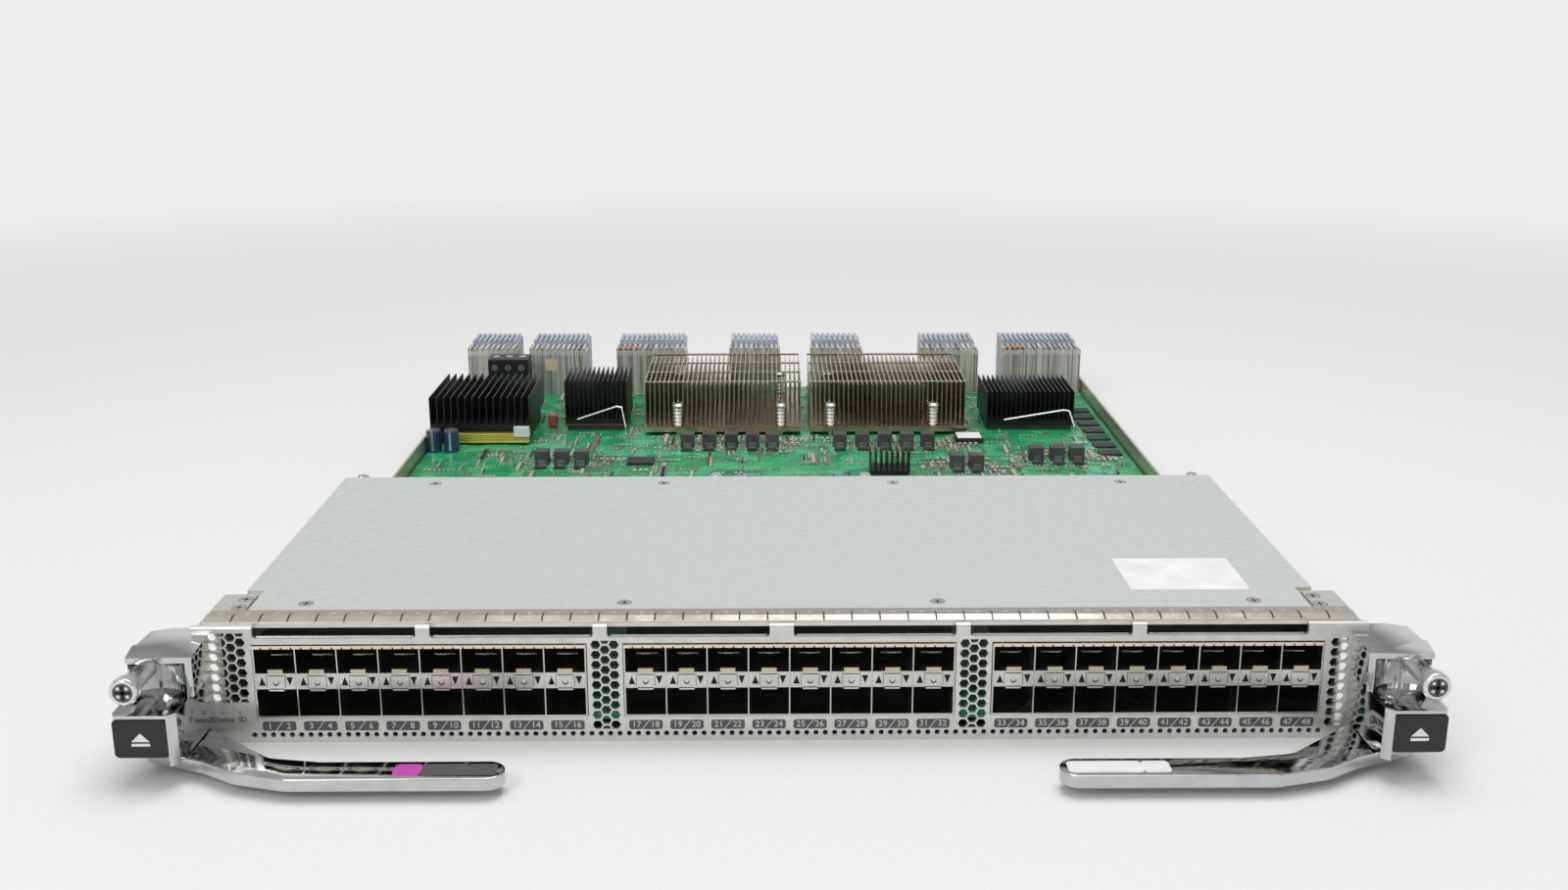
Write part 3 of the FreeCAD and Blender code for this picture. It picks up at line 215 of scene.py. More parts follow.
# %% Define the piece helpers
FACE_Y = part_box("faceplate")[0][1]
TURNS = {
    "X": Matrix.Rotation(math.radians(90), 4, "Y"),
    "Y": Matrix.Rotation(math.radians(-90), 4, "X"),
    "Z": Matrix.Identity(4),
}
UPRIGHT = Matrix.Rotation(math.radians(90), 4, "X")
CORNER_STEPS = 5
INK = 0.01
FONT_SIZE_SHARE = 1.4
SHARP_EDGE = math.radians(35)
WELD = 0.001


def at(x, y, z):
    """A place on the card, from millimetres to metres."""
    return Vector((x * MM, FACE_Y + y * MM, z * MM))


def drawn(corner):
    """A place in metres, as the drawing's millimetres."""
    return Vector((corner[0] / MM, (corner[1] - FACE_Y) / MM, corner[2] / MM))


def node_box(name):
    low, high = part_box(name)
    return drawn(low), drawn(high)


def middle_of(low, high):
    return tuple((start + stop) / 2 for start, stop in zip(low, high))


def add_block(bm, low, high):
    """An upright block between two corners."""
    low, high = at(*low), at(*high)
    size = Matrix.Diagonal((*(high - low), 1))
    place = Matrix.Translation((low + high) / 2) @ size
    return bmesh.ops.create_cube(bm, size=1.0, matrix=place)["verts"]


def add_cross(bm, middle, reach, half_width, bottom, top):
    """Two crossed bars: the recess in a screw's head, seen from above."""
    x, y = middle
    for reach_x, reach_y in ((reach, half_width), (half_width, reach)):
        add_block(bm, (x - reach_x, y - reach_y, bottom), (x + reach_x, y + reach_y, top))


def add_rod(bm, start, length, radius, axis="Z", sides=24):
    """A round rod that runs from a point along an axis."""
    along = Matrix.Translation((0, 0, length * MM / 2))
    bmesh.ops.create_cone(
        bm, cap_ends=True, segments=sides, radius1=radius * MM, radius2=radius * MM,
        depth=length * MM, matrix=Matrix.Translation(at(*start)) @ TURNS[axis] @ along,
    )


def add_triangle(bm, centre, width, height, depth):
    """A triangular plate that stands on the face and points up."""
    size = Matrix.Diagonal((width * MM / math.sqrt(3), height * MM / 1.5, depth * MM, 1))
    lowered = Matrix.Translation((0, -0.25, 0))
    place = Matrix.Translation(at(*centre)) @ UPRIGHT @ size @ lowered
    bmesh.ops.create_cone(bm, cap_ends=True, segments=3, radius1=1, radius2=1, depth=1, matrix=place)


def add_plate(bm, low, high, radius, axis):
    """A flat plate with rounded corners. The axis is the one that it faces along."""
    verts = add_block(bm, low, high)
    direction = "XYZ".index(axis)
    edges = []
    for edge in {edge for vert in verts for edge in vert.link_edges}:
        run = edge.verts[1].co - edge.verts[0].co
        if abs(run[direction]) > 0.99 * run.length:
            edges.append(edge)
    bmesh.ops.bevel(
        bm, geom=edges, offset=radius * MM, segments=CORNER_STEPS, profile=0.5, affect="EDGES", material=-1
    )


def add_words(bm, text, centre, height, bold=0.0):
    """Raised print that stands on the face, thickened by a few hundredths where it is bold."""
    curve = bpy.data.curves.new("print", "FONT")
    curve.body = text
    curve.size = height * MM * FONT_SIZE_SHARE
    curve.extrude = INK * MM
    curve.offset = bold * MM
    curve.resolution_u = 3
    curve.align_x = "CENTER"
    curve.align_y = "CENTER"
    words = bpy.data.objects.new("print", curve)
    mesh = words.to_mesh().copy()
    mesh.transform(Matrix.Translation(at(*centre)) @ UPRIGHT)
    bm.from_mesh(mesh)
    bpy.data.objects.remove(words)
    bpy.data.meshes.remove(mesh)
    bpy.data.curves.remove(curve)


def place_piece(name, bm, finish, body=CARD, bevel=0.0, segments=2):
    """The mesh becomes one piece that rides on a body, with softened edges where asked."""
    bmesh.ops.recalc_face_normals(bm, faces=bm.faces)
    mesh = bpy.data.meshes.new(name)
    bm.to_mesh(mesh)
    bm.free()
    mesh.materials.append(finish)
    piece = bpy.data.objects.new(name, mesh)
    bpy.context.scene.collection.objects.link(piece)
    if bevel:
        edge = piece.modifiers.new("softened_edges", "BEVEL")
        edge.width = bevel * MM
        edge.segments = segments
        edge.limit_method = "ANGLE"
        edge.angle_limit = SHARP_EDGE
        edge.harden_normals = True
        mesh.shade_smooth()
    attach(piece, body)
    return piece


def closed_copy(name):
    """A copy of a solid's mesh with its seams closed."""
    bm = bmesh.new()
    bm.from_mesh(nodes[name].data)
    bmesh.ops.remove_doubles(bm, verts=bm.verts, dist=WELD * MM)
    return bm


def merged_solid(name):
    """A closed copy of a solid with its flat faces whole."""
    bm = closed_copy(name)
    bmesh.ops.dissolve_limit(bm, angle_limit=math.radians(1), verts=bm.verts, edges=bm.edges)
    return bm


def solids_in(name):
    """The box of each separate solid in a node, from left to right."""
    bm = closed_copy(name)
    waiting = set(bm.verts)
    boxes = []
    while waiting:
        reached = [waiting.pop()]
        for vert in reached:
            for edge in vert.link_edges:
                other = edge.other_vert(vert)
                if other in waiting:
                    waiting.discard(other)
                    reached.append(other)
        low = Vector(min(vert.co[axis] for vert in reached) for axis in range(3))
        high = Vector(max(vert.co[axis] for vert in reached) for axis in range(3))
        boxes.append((drawn(low), drawn(high)))
    bm.free()
    return sorted(boxes, key=lambda box: (box[0].x, box[0].y))


print("piece helpers ready; solids in the coil row:", len(solids_in("power_inductors")))

# %% [markdown]
# ## Metal finishes
# Zinc-coated sheet has a pale, cloudy skin with crystals a few millimetres wide. The
# faceplate is the same sheet under a satin nickel coat with a fine grain. The port
# cages are bright tin, and the ejectors are polished zinc castings under chrome. They
# are all the one metal shader: what sets them apart is roughness and its pattern.

# %% Mix the metals
def sheet_metal(name, dark, pale, roughness, cloud_scale, grain, metallic):
    """Coated sheet: soft clouds of colour and roughness under a fine rolled grain."""
    finish = Finish(name, pale, roughness, metallic)
    clouds = finish.noise(cloud_scale, detail=4.0, rough=0.6)
    finish.give("Base Color", finish.ramp(clouds, [(0.3, dark), (0.7, pale)]))
    finish.give("Roughness", finish.levels(clouds, 0.3, 0.7, roughness + 0.07, roughness - 0.05))
    lines = finish.noise(1.0, rough=0.6, place=finish.stretched(grain))
    return finish.bump(lines, 0.12, 0.1 * MM).material


def polished_metal(name, colour, roughness):
    """Plated metal: nearly a mirror, with faint ripples and a few duller patches."""
    finish = Finish(name, colour, roughness, metallic=1.0)
    wear = finish.noise(90.0, rough=0.6)
    finish.give("Roughness", finish.levels(wear, 0.35, 0.75, roughness, roughness + 0.12))
    ripple = finish.noise(140.0, detail=2.0)
    return finish.bump(ripple, 0.06, 0.3 * MM).material


def chrome_plate():
    """Chrome over a polished casting: a mirror with a trace of orange peel and of handling."""
    finish = Finish("chrome_plate", (0.55, 0.56, 0.57), 0.07, metallic=1.0)
    wear = finish.noise(120.0, detail=4.0, rough=0.6)
    handled = finish.ramp(wear, [(0.3, (0.50, 0.51, 0.52)), (0.7, (0.60, 0.61, 0.61))])
    finish.give("Base Color", handled)
    finish.give("Roughness", finish.levels(wear, 0.4, 0.8, 0.05, 0.16))
    orange_peel = finish.noise(160.0, detail=2.0)
    return finish.bump(orange_peel, 0.05, 0.2 * MM).material


def sink_metal():
    """Plated fins: a warm silver that turns to bronze towards the base plate."""
    finish = Finish("nickel_plated_fins", (0.62, 0.55, 0.46), 0.3, metallic=1.0)
    height = finish.node("ShaderNodeSeparateXYZ", {"Vector": finish.place}).outputs["Z"]
    low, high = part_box("large_heat_sink_left")
    climb = finish.levels(height, low[2], high[2], 0.0, 1.0)
    cloud = finish.maths("MULTIPLY", finish.noise(140.0), 0.25)
    tarnish = [(0.1, (0.76, 0.62, 0.45)), (0.3, (0.46, 0.36, 0.26)), (0.95, (0.64, 0.55, 0.43))]
    finish.give("Base Color", finish.ramp(finish.maths("ADD", climb, cloud), tarnish))
    lines = finish.noise(1.0, rough=0.6, place=finish.stretched((200, 30, 1400)))
    finish.give("Roughness", finish.levels(lines, 0.3, 0.7, 0.24, 0.36))
    return finish.bump(lines, 0.1, 0.1 * MM).material


ALONG_CARD = (900, 12, 900)
ACROSS_FACE = (25, 25, 1500)
finishes = {
    "steel_sheet": sheet_metal(
        "zinc_coated_sheet", dark=(0.60, 0.63, 0.61), pale=(0.70, 0.73, 0.71), roughness=0.40,
        cloud_scale=260.0, grain=ALONG_CARD, metallic=0.6,
    ),
    "face_sheet": sheet_metal(
        "satin_nickel_sheet", dark=(0.60, 0.60, 0.57), pale=(0.70, 0.70, 0.67), roughness=0.34,
        cloud_scale=180.0, grain=ACROSS_FACE, metallic=0.75,
    ),
    "cage_sheet": sheet_metal(
        "bright_tin_sheet", dark=(0.55, 0.54, 0.51), pale=(0.68, 0.67, 0.63), roughness=0.22,
        cloud_scale=60.0, grain=ALONG_CARD, metallic=1.0,
    ),
    "spring_steel": polished_metal("spring_wire", (0.78, 0.78, 0.76), 0.22),
    "copper_gasket": polished_metal("tinned_copper", (0.80, 0.68, 0.56), 0.20),
    "screw_steel": polished_metal("screw_nickel", (0.72, 0.72, 0.70), 0.22),
    "chrome_casting": chrome_plate(),
    "bare_aluminium": sink_metal(),
}
print("metals:", len(finishes))

# %% [markdown]
# ## Black and moulded finishes
# Anodised aluminium is a black dye in a clear, slightly rough skin. Chip bodies are
# moulded epoxy with a fine spark-eroded texture, and ferrite is a pressed grey powder.
# Plastics differ mainly in colour and in how fine their moulded grain is.

# %% Mix the blacks and the plastics
def moulded(name, dark, pale, roughness, grain=1800.0, depth=0.08, metallic=0.0):
    """A moulded or pressed surface: a little uneven in colour, with a fine grain."""
    finish = Finish(name, pale, roughness, metallic)
    tone = finish.noise(70.0, rough=0.6)
    finish.give("Base Color", finish.ramp(tone, [(0.35, dark), (0.65, pale)]))
    texture = finish.noise(grain, detail=2.0)
    finish.give("Roughness", finish.levels(texture, 0.3, 0.7, roughness - 0.06, roughness + 0.08))
    return finish.bump(texture, 0.25, depth * MM).material


def wafer_plastic():
    """A stack of thin wafers: grey-beige, with a fine upright line where two wafers meet."""
    finish = Finish("wafer_plastic", (0.44, 0.43, 0.39), 0.4)
    lines = finish.noise(1.0, detail=1.0, rough=0.4, place=finish.stretched((1100, 12, 12)))
    seams = [(0.38, (0.22, 0.22, 0.20)), (0.5, (0.42, 0.41, 0.37)), (0.62, (0.54, 0.53, 0.49))]
    finish.give("Base Color", finish.ramp(lines, seams))
    finish.give("Roughness", finish.levels(lines, 0.3, 0.7, 0.36, 0.5))
    return finish.bump(lines, 0.4, 0.2 * MM).material


finishes.update({
    "black_plastic": moulded("button_plastic", (0.006, 0.008, 0.009), (0.011, 0.013, 0.015), 0.42),
    "black_aluminium": moulded(
        "black_anodised", (0.010, 0.010, 0.011), (0.022, 0.022, 0.024), 0.38,
        grain=1400.0, depth=0.04, metallic=0.4,
    ),
    "chip_epoxy": moulded("chip_epoxy", (0.016, 0.016, 0.017), (0.030, 0.030, 0.031), 0.48),
    "ferrite": moulded("ferrite", (0.045, 0.045, 0.048), (0.085, 0.085, 0.088), 0.55),
    "yellow_tape": moulded("yellow_tape", (0.62, 0.50, 0.05), (0.78, 0.66, 0.10), 0.32),
    "blue_sleeve": moulded("blue_sleeve", (0.018, 0.030, 0.090), (0.035, 0.060, 0.160), 0.26),
    "connector_plastic": wafer_plastic(),
    "housing_plastic": moulded("blue_grey_plastic", (0.30, 0.33, 0.40), (0.40, 0.44, 0.52), 0.42),
})
print("finishes:", len(finishes))

# %% [markdown]
# ## The printed board
# Green lacquer lies over copper: fields of copper look a lighter green, the gaps
# between tracks darker, and small plated holes show as pale dots. Drawing thousands of
# tracks as shapes would be heavy, so the pattern is wired from cells and waves instead.

# %% Mix the board lacquer
def board_lacquer():
    """Green lacquer in fields of three shades, crossed by tracks and dotted with pads."""
    finish = Finish("green_lacquer", (0.01, 0.36, 0.14), 0.34)
    finish.give("Specular IOR Level", 0.35)
    finish.give("Coat Weight", 0.2)
    finish.give("Coat Roughness", 0.15)
    blocks = finish.cells(85.0, spread=0.9, output="Color")
    region = finish.node("ShaderNodeSeparateColor", {"Color": blocks})
    lanes = finish.cells(1.0, spread=0.35, place=finish.stretched((900, 110, 1)))
    tracks = finish.levels(lanes, 0.28, 0.36, 0.0, 1.0)
    greens = [(0.25, (0.004, 0.27, 0.09)), (0.60, (0.008, 0.40, 0.15)), (0.9, (0.05, 0.50, 0.24))]
    pour = finish.ramp(region.outputs["Red"], greens)
    colour = finish.mix(finish.maths("MULTIPLY", tracks, 0.5), pour, (0.002, 0.19, 0.06))
    dots = finish.levels(finish.cells(420.0, spread=0.25), 0.10, 0.14, 1.0, 0.0)
    here = finish.levels(region.outputs["Green"], 0.45, 0.5, 0.0, 1.0)
    pads = finish.maths("MULTIPLY", dots, here)
    finish.give("Base Color", finish.mix(pads, colour, (0.52, 0.60, 0.42)))
    return finish.bump(tracks, 0.2, 0.04 * MM).material


finishes["circuit_board"] = board_lacquer()
print("board lacquer ready")

# %% [markdown]
# ## Finish every solid
# The record says which finish each solid takes. A solid keeps its place and its mesh,
# so only the material in its first slot changes. Three sheet parts differ from the rest:
# the tray is yellow passivated zinc, the rail behind the vents is near-black as painted
# shade, which makes the vents show dark, and the gasket is a bright rolled strip.

# %% Assign the finishes
slot_of = {row["node"]: row["material_slot"] for row in frame["record"]["subparts"]}
special = {
    # The rail is near-black as painted shade, so that the vents show dark.
    "front_rail": sheet_metal(
        "rail_painted_shade", dark=(0.05, 0.05, 0.05), pale=(0.08, 0.08, 0.08), roughness=0.5,
        cloud_scale=200.0, grain=ALONG_CARD, metallic=0.5,
    ),
    "tray": sheet_metal(
        "yellow_zinc", dark=(0.50, 0.48, 0.38), pale=(0.66, 0.63, 0.50), roughness=0.38,
        cloud_scale=200.0, grain=ALONG_CARD, metallic=0.8,
    ),
    "faceplate_gasket": polished_metal("gasket_strip", (0.66, 0.63, 0.55), 0.14),
}
for name, solid in nodes.items():
    solid.data.materials.clear()
    solid.data.materials.append(special.get(name, finishes[slot_of[name]]))
print("solids finished:", len(nodes))

# %% [markdown]
# ## Small finishes
# Print, lenses, solder and silk-screen are thin, but each has its own colour and sheen.

# %% Mix the small finishes
def small_finish(name, colour, roughness=0.45, metallic=0.0):
    dark = tuple(0.86 * part for part in colour)
    return moulded(name, dark, colour, roughness, grain=1500.0, depth=0.03, metallic=metallic)


dark_print = small_finish("dark_print", (0.075, 0.078, 0.082), 0.5)
pale_print = small_finish("pale_print", (0.62, 0.63, 0.62), 0.5)
white_print = small_finish("white_print", (0.80, 0.80, 0.79), 0.42)
white_label = small_finish("white_label", (0.78, 0.78, 0.78), 0.5)
magenta_label = small_finish("magenta_label", (0.52, 0.06, 0.42))
cream_label = small_finish("cream_label", (0.74, 0.62, 0.42), 0.5)
red_label = small_finish("red_label", (0.60, 0.13, 0.09), 0.5)
lamp_lens = small_finish("lamp_lens", (0.48, 0.52, 0.46), 0.25)
# Near-black painted shade, for cross recesses and the dark behind the port windows.
painted_shade_black = small_finish("painted_shade_black", (0.006, 0.006, 0.006), 0.6)
brass = small_finish("latch_brass", (0.62, 0.55, 0.36), 0.24, 1.0)
solder = small_finish("solder", (0.72, 0.72, 0.70), 0.3, 1.0)
ceramic = small_finish("ceramic_cream", (0.62, 0.56, 0.44))
ceramic_brown = small_finish("ceramic_brown", (0.30, 0.20, 0.12), 0.4)
# Dark steel as painted shade: on the knob's face, and in the gaps of the gasket.
painted_shade_steel = small_finish("painted_shade_steel", (0.13, 0.13, 0.13), 0.25, 1.0)
bronze_strip = small_finish("bronze_strip", (0.45, 0.25, 0.16), 0.35, 0.8)
print("small finishes ready")

# %% [markdown]
# ## Softened castings
# A casting has no sharp edge: the die has a radius and polishing adds to it. The bright
# line that chrome shows along every edge is that radius, so the ejector's castings, the
# buttons and the knobs stand here as copies with softened edges.

# %% Soften the ejectors
SOFTENED = {
    "ejector_housing": (CARD, "chrome_casting", 0.55),
    "lever": ("lever", "chrome_casting", 1.1),
    "eject_button": ("eject_button", "black_plastic", 0.25),
    "captive_screw": ("captive_screw", "screw_steel", 0.3),
}
for side in ("left", "right"):
    for stem, (rider, slot_name, radius) in SOFTENED.items():
        solid_name = f"{stem}_{side}"
        body_name = rider if rider == CARD else f"{rider}_{side}"
        softened = place_piece(
            f"soft_{solid_name}", merged_solid(solid_name), finishes[slot_name],
            body_name, bevel=radius, segments=3,
        )
        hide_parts(solid_name)
print("softened castings:", 2 * len(SOFTENED))

# %% [markdown]
# ## Springs
# A spring sits behind each button and round each captive screw, and it shortens as its
# piece moves in. A wire helix would be finer, but the part's springs are sleeves with one
# pleat for each turn. So each stands here as a copy in spring steel.

# %% Copy the springs
SPRING_GAP = 0.1
SPRING_JOINTS = {"button_spring": "eject_button_press", "captive_screw_spring": "captive_screw_travel"}
for side in ("left", "right"):
    for stem, motion in SPRING_JOINTS.items():
        solid_name = f"{stem}_{side}"
        low, high = node_box(solid_name)
        seat = (low + high) / 2
        seat.y = high.y + SPRING_GAP
        spring = place_piece(
            f"soft_{solid_name}", merged_solid(solid_name), finishes["spring_steel"]
        )
        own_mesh(spring)
        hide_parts(solid_name)

# %% [markdown]
# ## Signs and screw recesses of the ejectors
# The button carries the eject sign, a triangle over a bar, and pad printing puts it on.
# The knob has a cross recess, so that it turns by finger or by driver. Its face is
# painted dark, as painted shade and reflection, with four painted highlights round a
# cross of painted shade. Each lever has a field for an identity label near its tip, and
# here the fields are bare.

# %% Mark the ejectors
PRINT_PROUD = 0.03
SIGN_W = 6.0
TRIANGLE_H = 3.0
TRIANGLE_Z = 18.0
SIGN_BAR_H = 1.0
SIGN_BAR_Z = 14.9
DISH_R = 3.3
RECESS_REACH = 2.7
RECESS_HALF_W = 0.55
RECESS_CORNER_R = 0.25
# Four bright spots on the knob's face: painted highlights.
KNOB_GLINTS = ((-1.5, -1.3), (1.5, -1.3), (-1.4, 1.5), (1.4, 1.5))
GLINT_R = 0.6
GLINT_T = 0.05
LABEL_ENDS = (92.5, 117.0, 126.0)
LABEL_FRONT = -41.2
LABEL_REAR = -33.2
LABEL_SEAM = 0.05
LABEL_SUNK = 0.02
LABEL_PROUD = 0.06
LABEL_CORNER_R = 1.6
LABEL_FINISHES = {"left": (dark_print, magenta_label), "right": (white_label, white_label)}


def mark_button(side):
    low, high = node_box(f"eject_button_{side}")
    middle = (low.x + high.x) / 2
    face = low.y - PRINT_PROUD
    sign = bmesh.new()
    add_triangle(sign, (middle, face, TRIANGLE_Z), SIGN_W, TRIANGLE_H, 2 * PRINT_PROUD)
    bar_low = (middle - SIGN_W / 2, face - PRINT_PROUD, SIGN_BAR_Z)
    add_block(sign, bar_low, (middle + SIGN_W / 2, face + PRINT_PROUD, SIGN_BAR_Z + SIGN_BAR_H))
    place_piece(f"eject_sign_{side}", sign, white_print, f"eject_button_{side}")


def mark_knob(side):
    low, high = node_box(f"captive_screw_{side}")
    x, _, z = middle_of(low, high)
    face = low.y - PRINT_PROUD
    # A dark disc on the knob's face: painted shade and dark reflection.
    dish = bmesh.new()
    add_rod(dish, (x, face, z), 2 * PRINT_PROUD, DISH_R, "Y", sides=40)
    place_piece(f"knob_dish_{side}", dish, painted_shade_steel, f"captive_screw_{side}")
    # A black cross in the recess: painted shade.
    recess = bmesh.new()
    for reach_x, reach_z in ((RECESS_REACH, RECESS_HALF_W), (RECESS_HALF_W, RECESS_REACH)):
        corner = (x - reach_x, face - PRINT_PROUD, z - reach_z)
        add_plate(recess, corner, (x + reach_x, low.y, z + reach_z), RECESS_CORNER_R, "Y")
    place_piece(f"knob_recess_{side}", recess, painted_shade_black, f"captive_screw_{side}")
    # Bright spots round the cross: painted highlights.
    glints = bmesh.new()
    for step_x, step_z in KNOB_GLINTS:
        add_rod(glints, (x + step_x, face - GLINT_T, z + step_z), GLINT_T, GLINT_R, "Y", sides=16)
    place_piece(f"knob_painted_glints_{side}", glints, solder, f"captive_screw_{side}")


def label_lever(side, hand):
    top = node_box(f"lever_{side}")[1].z
    for number, finish in enumerate(LABEL_FINISHES[side]):
        x0, x1 = sorted(hand * end for end in LABEL_ENDS[number:number + 2])
        label = bmesh.new()
        corner = (x0, LABEL_FRONT, top - LABEL_SUNK)
        add_plate(label, corner, (x1 - LABEL_SEAM, LABEL_REAR, top + LABEL_PROUD), LABEL_CORNER_R, "Z")
        place_piece(f"lever_label_{side}_{number}", label, finish, f"lever_{side}")


for side, hand in (("left", -1), ("right", 1)):
    mark_button(side)
    mark_knob(side)
    label_lever(side, hand)
print("ejectors marked")

# %% [markdown]
# ## Print on the faceplate
# Under each column of ports a dark field carries the two port numbers, upper first, with
# a slash between. Screen printing does it in two passes, dark fields and then pale
# figures. A printed film could be laid on the face instead, but raised ink a few
# hundredths thick stays sharp from any distance.

# %% Print the faceplate
PORT_GROUPS = ("left", "middle", "right")
COLUMNS = 8
FIELD_W = 11.6
FIELD_H = 3.5
FIELD_Z = 6.15
FIELD_Y = (-0.03, 0.01)
FIELD_CORNER_R = 0.9
FIGURE_H = 2.3
FIGURE_X = 3.2
FIGURE_Y = -0.045
SLASH_Y = (-0.05, -0.035)
SLASH_HALF_W = 0.16
SLASH_LEAN = Matrix(((1, 0, 0.75, 0), (0, 1, 0, 0), (0, 0, 1, 0), (0, 0, 0, 1)))
columns = []
for group in PORT_GROUPS:
    low, high = node_box(f"cage_shell_{group}")
    pitch = (high.x - low.x) / COLUMNS
    columns += [low.x + (step + 0.5) * pitch for step in range(COLUMNS)]

fields = bmesh.new()
figures = bmesh.new()
for number, x in enumerate(columns):
    bottom, top = FIELD_Z - FIELD_H / 2, FIELD_Z + FIELD_H / 2
    corner = (x - FIELD_W / 2, FIELD_Y[0], bottom)
    add_plate(fields, corner, (x + FIELD_W / 2, FIELD_Y[1], top), FIELD_CORNER_R, "Y")
    add_words(figures, str(2 * number + 1), (x - FIGURE_X, FIGURE_Y, FIELD_Z), FIGURE_H)
    add_words(figures, str(2 * number + 2), (x + FIGURE_X, FIGURE_Y, FIELD_Z), FIGURE_H)
    corner = (x - SLASH_HALF_W, SLASH_Y[0], bottom)
    slash = add_block(figures, corner, (x + SLASH_HALF_W, SLASH_Y[1], top))
    pivot = Matrix.Translation(at(x, 0, FIELD_Z))
    bmesh.ops.transform(figures, matrix=pivot @ SLASH_LEAN @ pivot.inverted(), verts=slash)
place_piece("port_number_fields", fields, dark_print)
place_piece("port_numbers", figures, pale_print)
print("columns numbered:", len(columns))

# %% [markdown]
# ## Lamps and their words
# Two small lamps shine through holes at the left, and each has a word beneath it. A lens
# is the end of a clear rod just behind the face, so a short rod is all that it needs.

# %% Print the lamp words
WORD_H = 1.9
WORD_BOLD = 0.05
WORD_Z = 8.6
WORDS = (("Status", -192.2), ("ID", -186.1))
LAMPS_X = (-192.9, -186.7)
LAMP_Z = 11.4
LAMP_DEPTH = 0.4
LENS_L = 0.9
LENS_R = 0.7
words = bmesh.new()
for text, x in WORDS:
    add_words(words, text, (x, -PRINT_PROUD, WORD_Z), WORD_H, WORD_BOLD)
place_piece("lamp_words", words, dark_print)
lenses = bmesh.new()
for x in LAMPS_X:
    add_rod(lenses, (x, LAMP_DEPTH, LAMP_Z), LENS_L, LENS_R, "Y")
place_piece("lamp_lenses", lenses, lamp_lens)
print("lamps:", len(LAMPS_X))

# %% [markdown]
# ## Ports
# Between an upper and a lower port is a folded spacer. It has two arrow windows, which
# show the lamp behind, and the sprung latch tongues that catch a plugged-in module.
# Inside, each port has earthing fingers under its roof and a contact block at its end.

# %% Detail the ports
WINDOW_INSET = 0.6
WINDOW_Y = (0.9, 1.1)
WINDOW_Z = (20.7, 25.3)
RIM_INSET = 0.25
RIM_W = 0.3
RIM_PROUD = 0.08
RIM_Z = (20.4, 25.4)
FOOT_W = 3.2
FOOT_Z = (20.25, 20.6)
SHADOW_X = (3.3, 3.5)
SHADOW_PROUD = 0.03
SHADOW_Z = (20.8, 25.4)
# The dimple is painted: a dark disc of shade, and a bright disc over its top as a painted highlight.
DIMPLE_Z = 22.4
DIMPLE_R = 1.0
DIMPLE_PROUD = 0.06
DIMPLE_GLINT_Z = 22.8
DIMPLE_GLINT_R = 0.75
DIMPLE_GLINT_PROUD = 0.10
FINGER_T = 0.3
FINGER_H = 0.4
FINGERS = ((2.4, 5.0, 33.6), (1.6, 3.0, 31.2), (3.6, 8.0, 29.2))
# Near-black blocks behind the arrow windows: painted shade.
window_painted_shades = bmesh.new()
folds = bmesh.new()
tongues = bmesh.new()
painted_shade_strips = bmesh.new()
fingers = bmesh.new()

# The shade strips hold painted shade under the lip and under the lower fold.
# Each bar across a spacer: its mesh, half its width, its depths from the front, its heights.
SPACER_BARS = (
    (tongues, 2.55, (-0.1, 1.4), (25.9, 27.35)),
    (folds, 2.8, (-0.14, -0.02), (25.3, 25.6)),
    (painted_shade_strips, 2.8, (-0.1, 0.0), (24.9, 25.3)),
    (folds, 2.6, (-0.1, 0.0), (19.6, 19.95)),
    (painted_shade_strips, 2.6, (-0.1, 0.0), (19.95, 20.3)),
)


def crease_edge(edge, way, front):
    """The folded edge of a spacer: a rim, a foot and a painted shadow beside its arrow window."""
    x0, x1 = sorted((edge, edge + way * RIM_W))
    add_block(folds, (x0, front - RIM_PROUD, RIM_Z[0]), (x1, front, RIM_Z[1]))
    x0, x1 = sorted((edge, edge + way * FOOT_W))
    add_block(folds, (x0, front - RIM_PROUD, FOOT_Z[0]), (x1, front, FOOT_Z[1]))
    x0, x1 = sorted((edge + way * SHADOW_X[0], edge + way * SHADOW_X[1]))
    add_block(painted_shade_strips, (x0, front - SHADOW_PROUD, SHADOW_Z[0]), (x1, front, SHADOW_Z[1]))


def detail_spacer(left, right, front):
    """Painted shade behind the windows, the folds and their painted shade, the latch tongues, and the
    dimple, painted as shade under a highlight.
    """
    middle = (left + right) / 2
    corner = (left + WINDOW_INSET, front + WINDOW_Y[0], WINDOW_Z[0])
    add_block(window_painted_shades, corner, (right - WINDOW_INSET, front + WINDOW_Y[1], WINDOW_Z[1]))
    crease_edge(left + RIM_INSET, 1, front)
    crease_edge(right - RIM_INSET, -1, front)
    for heap, half_w, (nearest, farthest), (bottom, top) in SPACER_BARS:
        corner = (middle - half_w, front + nearest, bottom)
        add_block(heap, corner, (middle + half_w, front + farthest, top))
    # Dark disc: painted shade in the dimple. Bright disc over it: painted highlight.
    add_rod(painted_shade_strips, (middle, front - DIMPLE_PROUD, DIMPLE_Z), DIMPLE_PROUD, DIMPLE_R, "Y")
    add_rod(folds, (middle, front - DIMPLE_GLINT_PROUD, DIMPLE_GLINT_Z), DIMPLE_GLINT_PROUD, DIMPLE_GLINT_R, "Y")
    for half_w, y, z in FINGERS:
        add_block(fingers, (middle - half_w, y, z), (middle + half_w, y + FINGER_T, z + FINGER_H))


